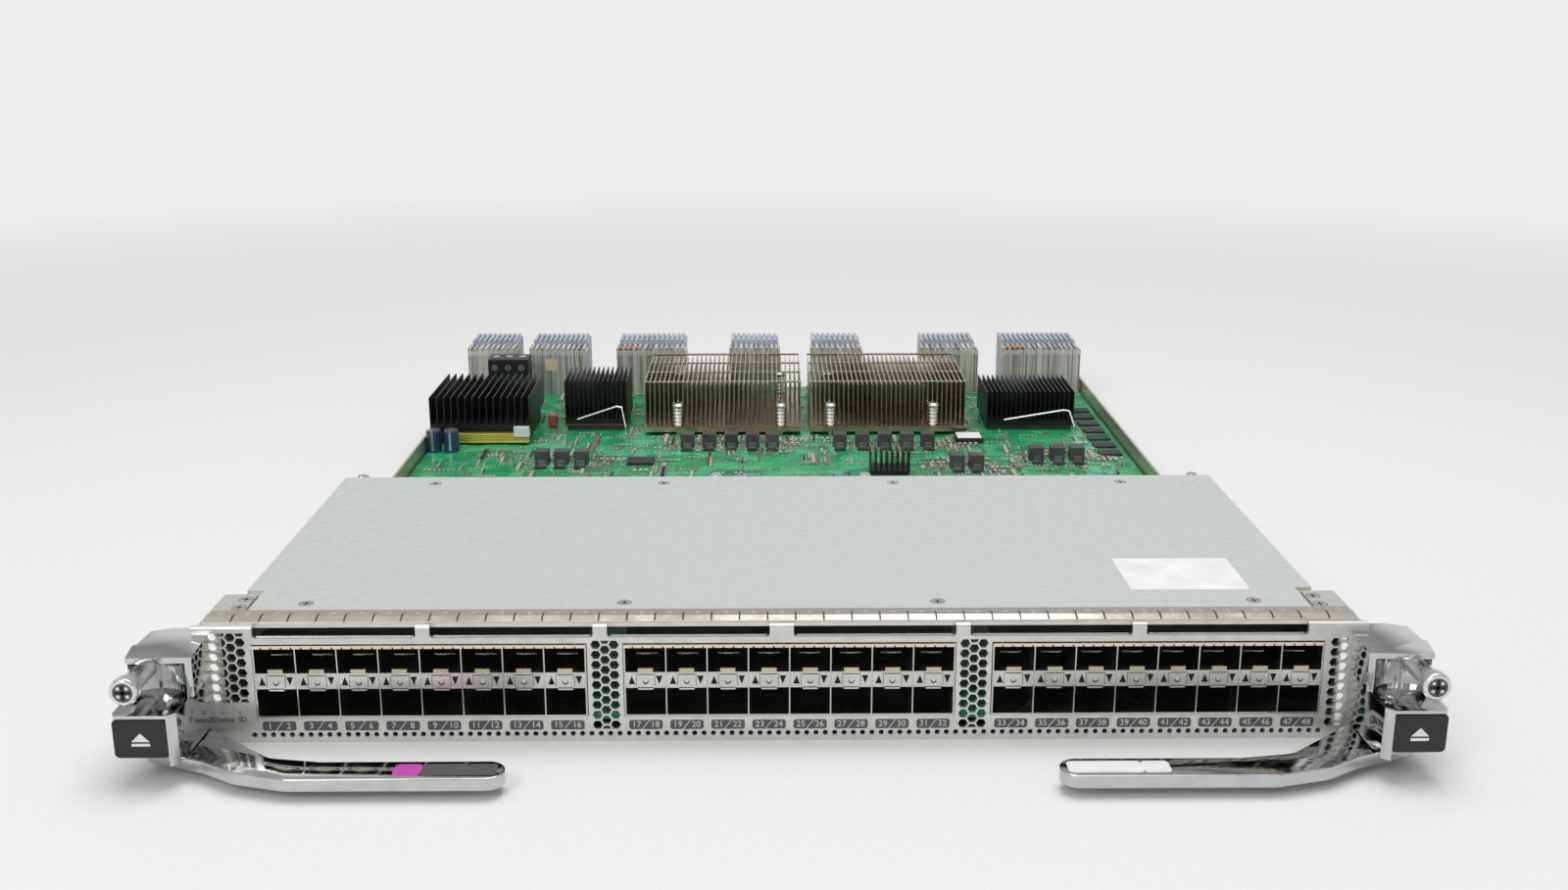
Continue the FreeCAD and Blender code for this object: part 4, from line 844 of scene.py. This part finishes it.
for group in PORT_GROUPS:
    for spacer_low, spacer_high in solids_in(f"cage_spacers_{group}"):
        detail_spacer(spacer_low.x, spacer_high.x, spacer_low.y)
place_piece("window_painted_shades", window_painted_shades, painted_shade_black)
place_piece("spacer_folds_and_glint", folds, solder)
place_piece("spacer_painted_shade", painted_shade_strips, small_finish("crease_painted_shade", (0.09, 0.09, 0.085), 0.4, 0.6))
place_piece("latch_tongues", tongues, brass)
place_piece("port_fingers", fingers, small_finish("finger_steel", (0.30, 0.30, 0.28), 0.3, 0.9))
print("ports detailed:", 2 * len(columns))

# %% [markdown]
# ## Gasket
# The strip over the faceplate presses against the next card in the chassis. Each of its
# bowed segments carries a small pressed dome, and its front edge is rolled under.

# %% Detail the gasket
SEGMENTS = 41
DOME_BACK = 5.2
DOME_SUNK = 0.12
DOME_HALF_SIZE = (0.9, 1.6, 0.25)
ROLL_R = 0.22
ROLL_BACK = 0.15
ROLL_UP = 0.3
SEAM_HALF_W = 0.25
SEAM_Y = (0.4, 7.5)
SEAM_H = 0.9
low, high = node_box("faceplate_gasket")
pitch = (high.x - low.x) / SEGMENTS
domes = bmesh.new()
for step in range(SEGMENTS):
    place = Matrix.Translation(at(low.x + (step + 0.5) * pitch, low.y + DOME_BACK, high.z - DOME_SUNK))
    shape = place @ Matrix.Diagonal((*DOME_HALF_SIZE, 1))
    bmesh.ops.create_uvsphere(domes, u_segments=12, v_segments=8, radius=MM, matrix=shape)
place_piece("gasket_domes", domes, finishes["copper_gasket"])
rolled = bmesh.new()
add_rod(rolled, (low.x, low.y + ROLL_BACK, low.z + ROLL_UP), high.x - low.x, ROLL_R, "X", sides=12)
place_piece("gasket_roll", rolled, solder)
# Dark blocks in the gaps between segments: painted shade.
seams = bmesh.new()
for step in range(1, SEGMENTS):
    x = low.x + step * pitch
    corner = (x - SEAM_HALF_W, low.y + SEAM_Y[0], low.z)
    add_block(seams, corner, (x + SEAM_HALF_W, low.y + SEAM_Y[1], low.z + SEAM_H))
place_piece("gasket_gap_painted_shade", seams, painted_shade_steel)
print("gasket segments:", SEGMENTS)

# %% [markdown]
# ## Vent lips
# The sheet is folded back along the lower edge of each vent, and the fold catches light.

# %% Fold the vent lips
VENTS_A_SIDE = 3
VENT_W = 55.6
VENT_WEB = 4.8
VENT_MIDDLE = 8.2
VENT_Z = 38.5
LIP_INSET = 1
LIP_Y = (1.4, 1.9)
LIP_Z = (VENT_Z - 0.3, VENT_Z + 0.45)
lips = bmesh.new()
for hand in (-1, 1):
    for step in range(VENTS_A_SIDE):
        inner = VENT_MIDDLE / 2 + step * (VENT_W + VENT_WEB)
        x0, x1 = sorted((hand * (inner + LIP_INSET), hand * (inner + VENT_W - LIP_INSET)))
        add_block(lips, (x0, LIP_Y[0], LIP_Z[0]), (x1, LIP_Y[1], LIP_Z[1]))
place_piece("vent_lips", lips, finishes["cage_sheet"], bevel=0.1)
print("vent lips folded:", 2 * VENTS_A_SIDE)

# %% [markdown]
# ## Cover label and screw recesses
# The cover is held by flat-headed screws that sit in pressed dimples. Each dimple's shade
# is painted as a dark ring, and each head's cross recess as a black cross of painted
# shade. The white label at the right is bare.

# %% Finish the cover
LABEL_LOW = (126.5, 33.9)
LABEL_HIGH = (170.0, 67.5)
LABEL_T = 0.08
RING_RISE = 0.02
RING_SHARE = 0.98
RING_GROWS = Matrix.Diagonal((1.16, 1.16, 1, 1))
RING_STEPS = 28
cover_top = node_box("front_cover")[1].z
label = bmesh.new()
add_plate(label, (*LABEL_LOW, cover_top), (*LABEL_HIGH, cover_top + LABEL_T), radius=0.8, axis="Z")
place_piece("cover_label", label, white_label)


def add_ring(bm, middle, radius):
    """A flat ring round a screw's head: a circle whose edge is drawn outwards."""
    here = Matrix.Translation(at(*middle))
    start = bmesh.ops.create_circle(bm, cap_ends=False, segments=RING_STEPS, radius=radius * MM, matrix=here)
    edges = list({edge for vert in start["verts"] for edge in vert.link_edges})
    grown = bmesh.ops.extrude_edge_only(bm, edges=edges)["geom"]
    outer = [part for part in grown if isinstance(part, bmesh.types.BMVert)]
    bmesh.ops.transform(bm, matrix=here @ RING_GROWS @ here.inverted(), verts=outer)


# Dark rings: painted shade in the dimples. Black crosses: painted shade in the recesses.
painted_shade_rings = bmesh.new()
crosses = bmesh.new()
for screw_low, screw_high in solids_in("cover_screws"):
    x, y, _ = middle_of(screw_low, screw_high)
    top = screw_high.z
    add_ring(painted_shade_rings, (x, y, top + RING_RISE), (screw_high.x - screw_low.x) / 2 * RING_SHARE)
    add_cross(crosses, (x, y), reach=1.35, half_width=0.3, bottom=top, top=top + 0.03)
place_piece("painted_dimple_shade", painted_shade_rings, small_finish("dimple_painted_shade", (0.16, 0.16, 0.15), 0.5, 0.5))
place_piece("screw_recesses", crosses, painted_shade_black)
print("cover screws finished")

# %% [markdown]
# ## Fin beads
# Each fin of a large sink is clipped to its neighbours by small tabs, which catch the
# light as four rows of beads. A block for each fin and row is enough, because a bead is
# only about a millimetre across.

# %% Bead the fins
FINS = 34
FIN_T = 0.5
BEAD_ROWS = 4
BEADS_FRONT = 382.4
BEAD_STEP = 24.4
BEAD_MARGIN = 2
BEAD_LOW = Vector((-0.55, -0.9, -0.9))
BEAD_HIGH = Vector((0.55, 0.5, 0.12))
beads = bmesh.new()
for side in ("left", "right"):
    low, high = node_box(f"large_heat_sink_{side}")
    fin_pitch = (high.x - low.x - FIN_T) / (FINS - 1)
    for row in range(BEAD_ROWS):
        y = min(BEADS_FRONT + row * BEAD_STEP, high.y - BEAD_MARGIN)
        for fin in range(FINS):
            tab = Vector((low.x + FIN_T / 2 + fin * fin_pitch, y, high.z))
            add_block(beads, tab + BEAD_LOW, tab + BEAD_HIGH)
bead_nickel = small_finish("bead_nickel", (0.80, 0.74, 0.64), 0.2, 1.0)
place_piece("fin_beads", beads, bead_nickel)
print("beads:", 2 * BEAD_ROWS * FINS)

# %% [markdown]
# ## Bright tops and screw heads
# The sleeved capacitors have bare tops, and a pale stripe down the front of each sleeve
# is a painted highlight. The spring screws have a cross recess, painted black as shade,
# and the power terminal three round screw heads. All are rods and blocks that stand a
# little proud of the solids.

# %% Brighten the tops and the screws
CAN_TOP_T = 0.08
CAN_TOP_SHARE = 0.86
# A bright strip on the front of each sleeve: a painted highlight.
CAN_HIGHLIGHT_X = (-0.8, 0.5)
CAN_HIGHLIGHT_Y = (-0.03, 0.4)
CAN_HIGHLIGHT_FOOT = 1
CAN_HIGHLIGHT_HEAD = 1.2
TERMINALS = 3
TERMINAL_PITCH = 8
FRONT_SCREW_R = 2.0
FRONT_SCREW_T = 0.4
FRONT_SCREW_OUT = 0.15
FRONT_SCREW_DOWN = 5
TOP_SCREW_R = 2.2
TOP_SCREW_T = 0.5
tops_and_highlights = bmesh.new()
darks = bmesh.new()
for can_low, can_high in solids_in("capacitors"):
    x, y, _ = middle_of(can_low, can_high)
    radius = (can_high.x - can_low.x) / 2
    add_rod(tops_and_highlights, (x, y, can_high.z), CAN_TOP_T, radius * CAN_TOP_SHARE)
    # The pale strip down the front of the sleeve: a painted highlight.
    corner = (x + CAN_HIGHLIGHT_X[0], can_low.y + CAN_HIGHLIGHT_Y[0], can_low.z + CAN_HIGHLIGHT_FOOT)
    add_block(tops_and_highlights, corner, (x + CAN_HIGHLIGHT_X[1], can_low.y + CAN_HIGHLIGHT_Y[1], can_high.z - CAN_HIGHLIGHT_HEAD))
# Black crosses in the spring screws: painted shade.
for screw_low, screw_high in solids_in("sink_screws"):
    x, y, _ = middle_of(screw_low, screw_high)
    top = screw_high.z
    add_cross(darks, (x, y), reach=1.6, half_width=0.35, bottom=top - 0.02, top=top + 0.03)
low, high = node_box("power_terminal")
for step in range(TERMINALS):
    x = low.x + (step + 0.5) * TERMINAL_PITCH
    front_screw = (x, low.y - FRONT_SCREW_OUT, high.z - FRONT_SCREW_DOWN)
    add_rod(tops_and_highlights, front_screw, FRONT_SCREW_T, FRONT_SCREW_R, "Y")
    add_rod(tops_and_highlights, (x, (low.y + high.y) / 2, high.z), TOP_SCREW_T, TOP_SCREW_R)
place_piece("bright_tops_and_highlights", tops_and_highlights, solder)
place_piece("driver_recesses", darks, painted_shade_black)
print("terminals:", TERMINALS)

# %% [markdown]
# ## The core of the power module
# Flat copper layers are wound round the yellow core and end in a white block. A small
# red relay stands beside the module, and a bronze frame lies under the processor's sink.

# %% Wind the core and add the relay
CORE_BLOCK_X = (-145.0, -136.4)
CORE_BLOCK_Y = (-1.6, 2.2)
CORE_BLOCK_Z = (14.4, 20.3)
WINDING_LEVELS = (12.3, 13.6, 14.9)
WINDING_H = 0.35
WINDING_OUT = 0.1
WINDING_Y = (-0.12, 0.3)
FRAME_Y = (-0.4, 1.0)
FRAME_Z = (-0.9, 0.4)
RELAY_LOW = (-131.0, 388.5, 10.0)
RELAY_HIGH = (-126.0, 393.5, 17.0)
low, high = node_box("power_core")
block = bmesh.new()
corner = (CORE_BLOCK_X[0], low.y + CORE_BLOCK_Y[0], CORE_BLOCK_Z[0])
add_block(block, corner, (CORE_BLOCK_X[1], low.y + CORE_BLOCK_Y[1], CORE_BLOCK_Z[1]))
place_piece("core_terminal", block, white_label, bevel=0.3)
layers = bmesh.new()
for level in WINDING_LEVELS:
    corner = (low.x - WINDING_OUT, low.y + WINDING_Y[0], level)
    add_block(layers, corner, (high.x + WINDING_OUT, low.y + WINDING_Y[1], level + WINDING_H))
place_piece("core_windings", layers, bronze_strip)

low, high = node_box("processor_heat_sink")
strip = bmesh.new()
corner = (low.x, low.y + FRAME_Y[0], low.z + FRAME_Z[0])
add_block(strip, corner, (high.x, low.y + FRAME_Y[1], low.z + FRAME_Z[1]))
place_piece("processor_frame", strip, bronze_strip)
relay = bmesh.new()
add_block(relay, RELAY_LOW, RELAY_HIGH)
place_piece("red_relay", relay, red_label, bevel=0.3)
print("windings:", len(WINDING_LEVELS))

# %% [markdown]
# ## Pins, terminals and board marks
# Chips stand on rows of tinned pins, which show as a pale outline. Each inductor has a
# folded terminal at its foot, front and back, and a printed line round three sides.
# Blocks make them all, since a pin is too small for its bends to show.

# %% Solder the large parts
PIN_PITCH = 1.1
PIN_L = 0.9
PIN_HALF_W = 0.22
PIN_T = 0.25
WIDE_CHIP = 10
FOOT_INSET = 1.6
FOOT_T = 0.35
FOOT_H = 2.8
MARK_OUT = 0.9
MARK_FRONT = 1.4
MARK_W = 0.25
MARK_T = 0.03
pins = bmesh.new()
prints = bmesh.new()


def add_pins(start, stop, edge, way, foot, turned):
    """A row of pins from start to stop, each reaching out from the edge of a chip."""
    count = max(2, int((stop - start) / PIN_PITCH))
    reach = sorted((edge, edge + way * PIN_L))
    for step in range(count):
        middle = start + (step + 0.5) * (stop - start) / count
        across = (middle - PIN_HALF_W, middle + PIN_HALF_W)
        (x0, x1), (y0, y1) = (reach, across) if turned else (across, reach)
        add_block(pins, (x0, y0, foot), (x1, y1, foot + PIN_T))


for low, high in solids_in("board_chips"):
    add_pins(low.x, high.x, low.y, -1, low.z, turned=False)
    add_pins(low.x, high.x, high.y, 1, low.z, turned=False)
    if high.x - low.x > WIDE_CHIP:
        add_pins(low.y, high.y, low.x, -1, low.z, turned=True)
        add_pins(low.y, high.y, high.x, 1, low.z, turned=True)
for low, high in solids_in("power_inductors"):
    for y0, y1 in ((low.y - FOOT_T, low.y), (high.y, high.y + FOOT_T)):
        add_block(pins, (low.x + FOOT_INSET, y0, low.z), (high.x - FOOT_INSET, y1, low.z + FOOT_H))
    left, right, front = low.x - MARK_OUT, high.x + MARK_OUT, low.y - MARK_FRONT
    lines = ((left, right, front + MARK_W), (left, left + MARK_W, high.y), (right - MARK_W, right, high.y))
    for x0, x1, rear in lines:
        add_block(prints, (x0, front, low.z), (x1, rear, low.z + MARK_T))
place_piece("chip_pins", pins, solder)
place_piece("board_marks", prints, white_print)
print("pins placed")

# %% [markdown]
# ## The clock's lid
# One chip is a clock with a pale metal lid, which shows as a bright field among the dark
# chips. A thin plate on its top stands for the lid.

# %% Lid the clock
LID_LOW = (100.8, 352.8)
LID_HIGH = (114.2, 365.2)
LID_RISE = 3.0
LID_T = 0.12
board_low, board_high = node_box("main_board")
board_top = board_high.z
lid = bmesh.new()
lid_bottom = board_top + LID_RISE
add_block(lid, (*LID_LOW, lid_bottom), (*LID_HIGH, lid_bottom + LID_T))
place_piece("clock_lid", lid, white_label)
print("board top:", round(board_top, 2))

# %% [markdown]
# ## Where small parts may stand
# Small parts never lie under a larger one. The boxes of the tall solids are gathered
# first, each a little enlarged, so that a place can be tested against them all.

# %% Find the free board
TALL = (
    "board_chips", "power_inductors", "capacitors", "chip_packages", "board_screws", "large_heat_sink_left",
    "large_heat_sink_right", "processor_heat_sink", "fabric_heat_sink", "clock_heat_sink", "power_module",
    "power_core", "power_terminal", "backplane_wafers", "sink_clips",
)
RELAY_MARGIN = 1.0
MARGIN_X = 0.9
MARGIN_FRONT = 1.5
MARGIN_REAR = 0.6
taken = [(
    RELAY_LOW[0] - RELAY_MARGIN, RELAY_LOW[1] - RELAY_MARGIN,
    RELAY_HIGH[0] + RELAY_MARGIN, RELAY_HIGH[1] + RELAY_MARGIN,
)]
for name in TALL:
    for low, high in solids_in(name):
        taken.append((low.x - MARGIN_X, low.y - MARGIN_FRONT, high.x + MARGIN_X, high.y + MARGIN_REAR))


def is_free(x0, y0, x1, y1):
    return all(x1 < left or x0 > right or y1 < front or y0 > rear for left, front, right, rear in taken)


print("places taken:", len(taken))

# %% [markdown]
# ## Chip capacitors and resistors
# A board like this holds thousands of parts the size of a grain of rice, in short rows
# beside the chips that they serve. They are scattered here by a fixed random seed, in
# rows of equal parts. Each row is made by itself and then joined to the rest, because
# an operator is quick on a small mesh and slow on a large one.

# %% Scatter the small parts
ROWS = 2200
COIL_SHARE = 3
SIDE_MARGIN = 5
LAST_MARGIN = 3
PLUGS_Y = 470
CROWDING = 0.8
ROOM = 0.2
SKIN = 0.04
CAP_SHARE = 0.25
SMALL_SIZES = ((1.6, 0.8, 0.8), (1.0, 0.5, 0.5), (2.0, 1.25, 1.1), (3.2, 1.6, 1.4))
SIZE_ODDS = (6, 3, 4, 2)
KINDS = {"cream": ceramic, "brown": ceramic_brown, "black": finishes["chip_epoxy"]}
KIND_ODDS = (7, 2, 2)
coil_places = [middle_of(low, high)[:2] for low, high in solids_in("power_inductors")]
cover_rear = node_box("rear_rail")[1].y
heaps = {kind: bmesh.new() for kind in KINDS}
ends = bmesh.new()
chance = random.Random(11)


def append_mesh(bm, part):
    """Adds one small mesh to a growing one."""
    mesh = bpy.data.meshes.new("part")
    part.to_mesh(mesh)
    part.free()
    bm.from_mesh(mesh)
    bpy.data.meshes.remove(mesh)


def row_start(row):
    """Where a row starts: anywhere on the open board, or for one row in three near a coil."""
    if row % COIL_SHARE:
        x = chance.uniform(board_low.x + SIDE_MARGIN, board_high.x - SIDE_MARGIN)
        return x, cover_rear + (PLUGS_Y - cover_rear) * chance.random() ** CROWDING
    coil_x, coil_y = chance.choice(coil_places)
    x = coil_x + chance.gauss(0, 9)
    return x, coil_y + chance.gauss(-4, 7)


placed = 0
for row in range(ROWS):
    row_x, row_y = row_start(row)
    length, width, height = chance.choices(SMALL_SIZES, SIZE_ODDS)[0]
    kind = chance.choices(tuple(KINDS), KIND_ODDS)[0]
    side_by_side = chance.random() < 0.5
    count = chance.randint(2, 7)
    pitch = width + chance.uniform(0.7, 1.6)
    size_x, size_y = (width, length) if side_by_side else (length, width)
    cap = CAP_SHARE * length
    cap_x, cap_y = (size_x, cap) if side_by_side else (cap, size_y)
    top = board_top + height
    body_row = bmesh.new()
    end_row = bmesh.new()
    for step in range(count):
        x = row_x + (step * pitch if side_by_side else 0)
        y = row_y + (0 if side_by_side else step * pitch)
        free = is_free(x - ROOM, y - ROOM, x + size_x + ROOM, y + size_y + ROOM)
        if x + size_x > board_high.x - LAST_MARGIN or not free:
            continue
        add_block(body_row, (x, y, board_top), (x + size_x, y + size_y, top))
        for start_x, start_y in ((x, y), (x + size_x - cap_x, y + size_y - cap_y)):
            corner = (start_x - SKIN, start_y - SKIN, board_top)
            add_block(end_row, corner, (start_x + cap_x + SKIN, start_y + cap_y + SKIN, top + SKIN))
        placed += 1
    append_mesh(heaps[kind], body_row)
    append_mesh(ends, end_row)
for kind, heap in heaps.items():
    place_piece(f"{kind}_chip_parts", heap, KINDS[kind])
place_piece("solder_ends", ends, solder)
print("small parts:", placed)

# %% [markdown]
# ## Rear plugs
# The plugs at the rear edge are stacks of thin wafers, so a white organiser holds them
# near the top. Two of them have a cream label, and two a reddish one, all bare.

# %% Detail the rear plugs
WAFER_PITCH = 1.6
COMB_START = 0.2
COMB_SHARE = 0.6
COMB_T = 0.25
COMB_BELOW_TOP = (4.4, 1.7)
CREAM_PLUGS = (1, 5)
CREAM_X = 9.5
CREAM_W = 7.6
CREAM_Y = (-0.3, -0.2)
CREAM_Z = (24.4, 32.0)
RED_PLUGS = (2, 6)
RED_X = 1.5
RED_W = 13.0
RED_Y = (1, 5.5)
RED_T = 0.1
combs = bmesh.new()
creams = bmesh.new()
reds = bmesh.new()
plug_boxes = solids_in("backplane_wafers")
for number, (low, high) in enumerate(plug_boxes):
    wafers_across = round((high.x - low.x) / WAFER_PITCH)
    pitch = (high.x - low.x) / wafers_across
    for step in range(wafers_across):
        x = low.x + (step + COMB_START) * pitch
        corner = (x, low.y - COMB_T, high.z - COMB_BELOW_TOP[0])
        add_block(combs, corner, (x + COMB_SHARE * pitch, low.y, high.z - COMB_BELOW_TOP[1]))
    if number in CREAM_PLUGS:
        corner = (low.x + CREAM_X, low.y + CREAM_Y[0], CREAM_Z[0])
        opposite = (low.x + CREAM_X + CREAM_W, low.y + CREAM_Y[1], CREAM_Z[1])
        add_plate(creams, corner, opposite, radius=0.9, axis="Y")
    if number in RED_PLUGS:
        corner = (low.x + RED_X, low.y + RED_Y[0], high.z)
        add_block(reds, corner, (low.x + RED_X + RED_W, low.y + RED_Y[1], high.z + RED_T))
place_piece("wafer_combs", combs, pale_print)
place_piece("cream_labels", creams, cream_label)
place_piece("red_labels", reds, red_label)
print("plugs:", len(plug_boxes))

# %% [markdown]
# ## Floor
# The card stands on a plain pale floor, as in a studio. Far from the card the floor and
# the backdrop give their own pale light, so that no horizon shows. Near the card the
# floor is lit only by the lamps, and so it keeps the shadow.

# %% Lay the floor
BACKDROP = 0.84
FLOOR_HALF = 40.0
GLOW_FROM = 0.7
GLOW_TO = 1.6


def seen_directly(finish):
    """1 where the camera, a mirror or glass sees the surface, and 0 for soft light."""
    path = finish.node("ShaderNodeLightPath")
    direct = finish.maths("MAXIMUM", path.outputs["Is Camera Ray"], path.outputs["Is Glossy Ray"])
    return finish.maths("MAXIMUM", direct, path.outputs["Is Transmission Ray"])


def pale_floor():
    """A pale matt floor that turns into the backdrop's own light far from the card."""
    finish = Finish("pale_floor", (0.74, 0.74, 0.73), 0.6)
    speckle = finish.noise(300.0)
    shades = [(0.3, (0.73, 0.73, 0.72)), (0.7, (0.75, 0.75, 0.74))]
    finish.give("Base Color", finish.ramp(speckle, shades))
    away = finish.node("ShaderNodeVectorMath", {0: finish.place}, operation="LENGTH").outputs["Value"]
    far = finish.levels(away, GLOW_FROM, GLOW_TO, 0.0, 1.0)
    share = finish.maths("MULTIPLY", far, seen_directly(finish))
    glow = finish.node("ShaderNodeEmission", {"Color": (BACKDROP, BACKDROP, BACKDROP), "Strength": 1.0})
    layers = {0: share, 1: finish.shader.outputs[0], 2: glow.outputs[0]}
    surface = finish.node("ShaderNodeMixShader", layers).outputs[0]
    finish.links.new(surface, finish.nodes["Material Output"].inputs["Surface"])
    return finish.material


floor_bm = bmesh.new()
bmesh.ops.create_grid(floor_bm, x_segments=1, y_segments=1, size=FLOOR_HALF)
bmesh.ops.translate(floor_bm, verts=floor_bm.verts, vec=(0, 0, solid_bounds[0][2]))
floor_mesh = bpy.data.meshes.new("floor")
floor_bm.to_mesh(floor_mesh)
floor_bm.free()
floor_mesh.materials.append(pale_floor())
floor = bpy.data.objects.new("floor", floor_mesh)
bpy.context.scene.collection.objects.link(floor)
print("floor half width in metres:", FLOOR_HALF)

# %% [markdown]
# ## Light
# A broad soft lamp hangs over the card, and a smaller one stands in front and to the
# left. Both are wide for their distance, which keeps the edges of the shadows soft.

# %% Hang the lamps
def hang_lamp(name, place, aim, size, power):
    """A square area lamp that faces a point."""
    data = bpy.data.lights.new(name, "AREA")
    data.size = size
    data.energy = power
    lamp = bpy.data.objects.new(name, data)
    bpy.context.scene.collection.objects.link(lamp)
    lamp.location = place
    lamp.rotation_euler = (Vector(aim) - Vector(place)).to_track_quat("-Z", "Y").to_euler()


hang_lamp("lamp_over", place=(0.1, 0.25, 1.5), aim=(0, 0.2, 0), size=1.0, power=13.5)
hang_lamp("lamp_front", place=(-0.8, -1.2, 1.2), aim=(0, 0, 0.02), size=0.6, power=8.5)
print("lamps hung")

# %% [markdown]
# ## Sky
# Chrome shows what is round it. The ceiling here is darker than the backdrop at the
# horizon, and that is what gives chrome its dark bands.

# %% Shade the sky
SKY = ((0.0, BACKDROP), (0.22, BACKDROP), (0.42, 0.34), (0.75, 0.55), (1.0, 0.75))

world = bpy.data.worlds.new("studio")
bpy.context.scene.world = world
world.use_nodes = True
world_nodes, world_links = world.node_tree.nodes, world.node_tree.links
direction = world_nodes.new("ShaderNodeTexCoord").outputs["Generated"]
split = world_nodes.new("ShaderNodeSeparateXYZ")
world_links.new(direction, split.inputs["Vector"])
sky = world_nodes.new("ShaderNodeValToRGB")
world_links.new(split.outputs["Z"], sky.inputs["Fac"])
fill_ramp(sky.color_ramp.elements, SKY)
backdrop = world_nodes["Background"]
world_links.new(sky.outputs["Color"], backdrop.inputs["Color"])
backdrop.inputs["Strength"].default_value = 1.0
print("sky stops:", len(SKY))
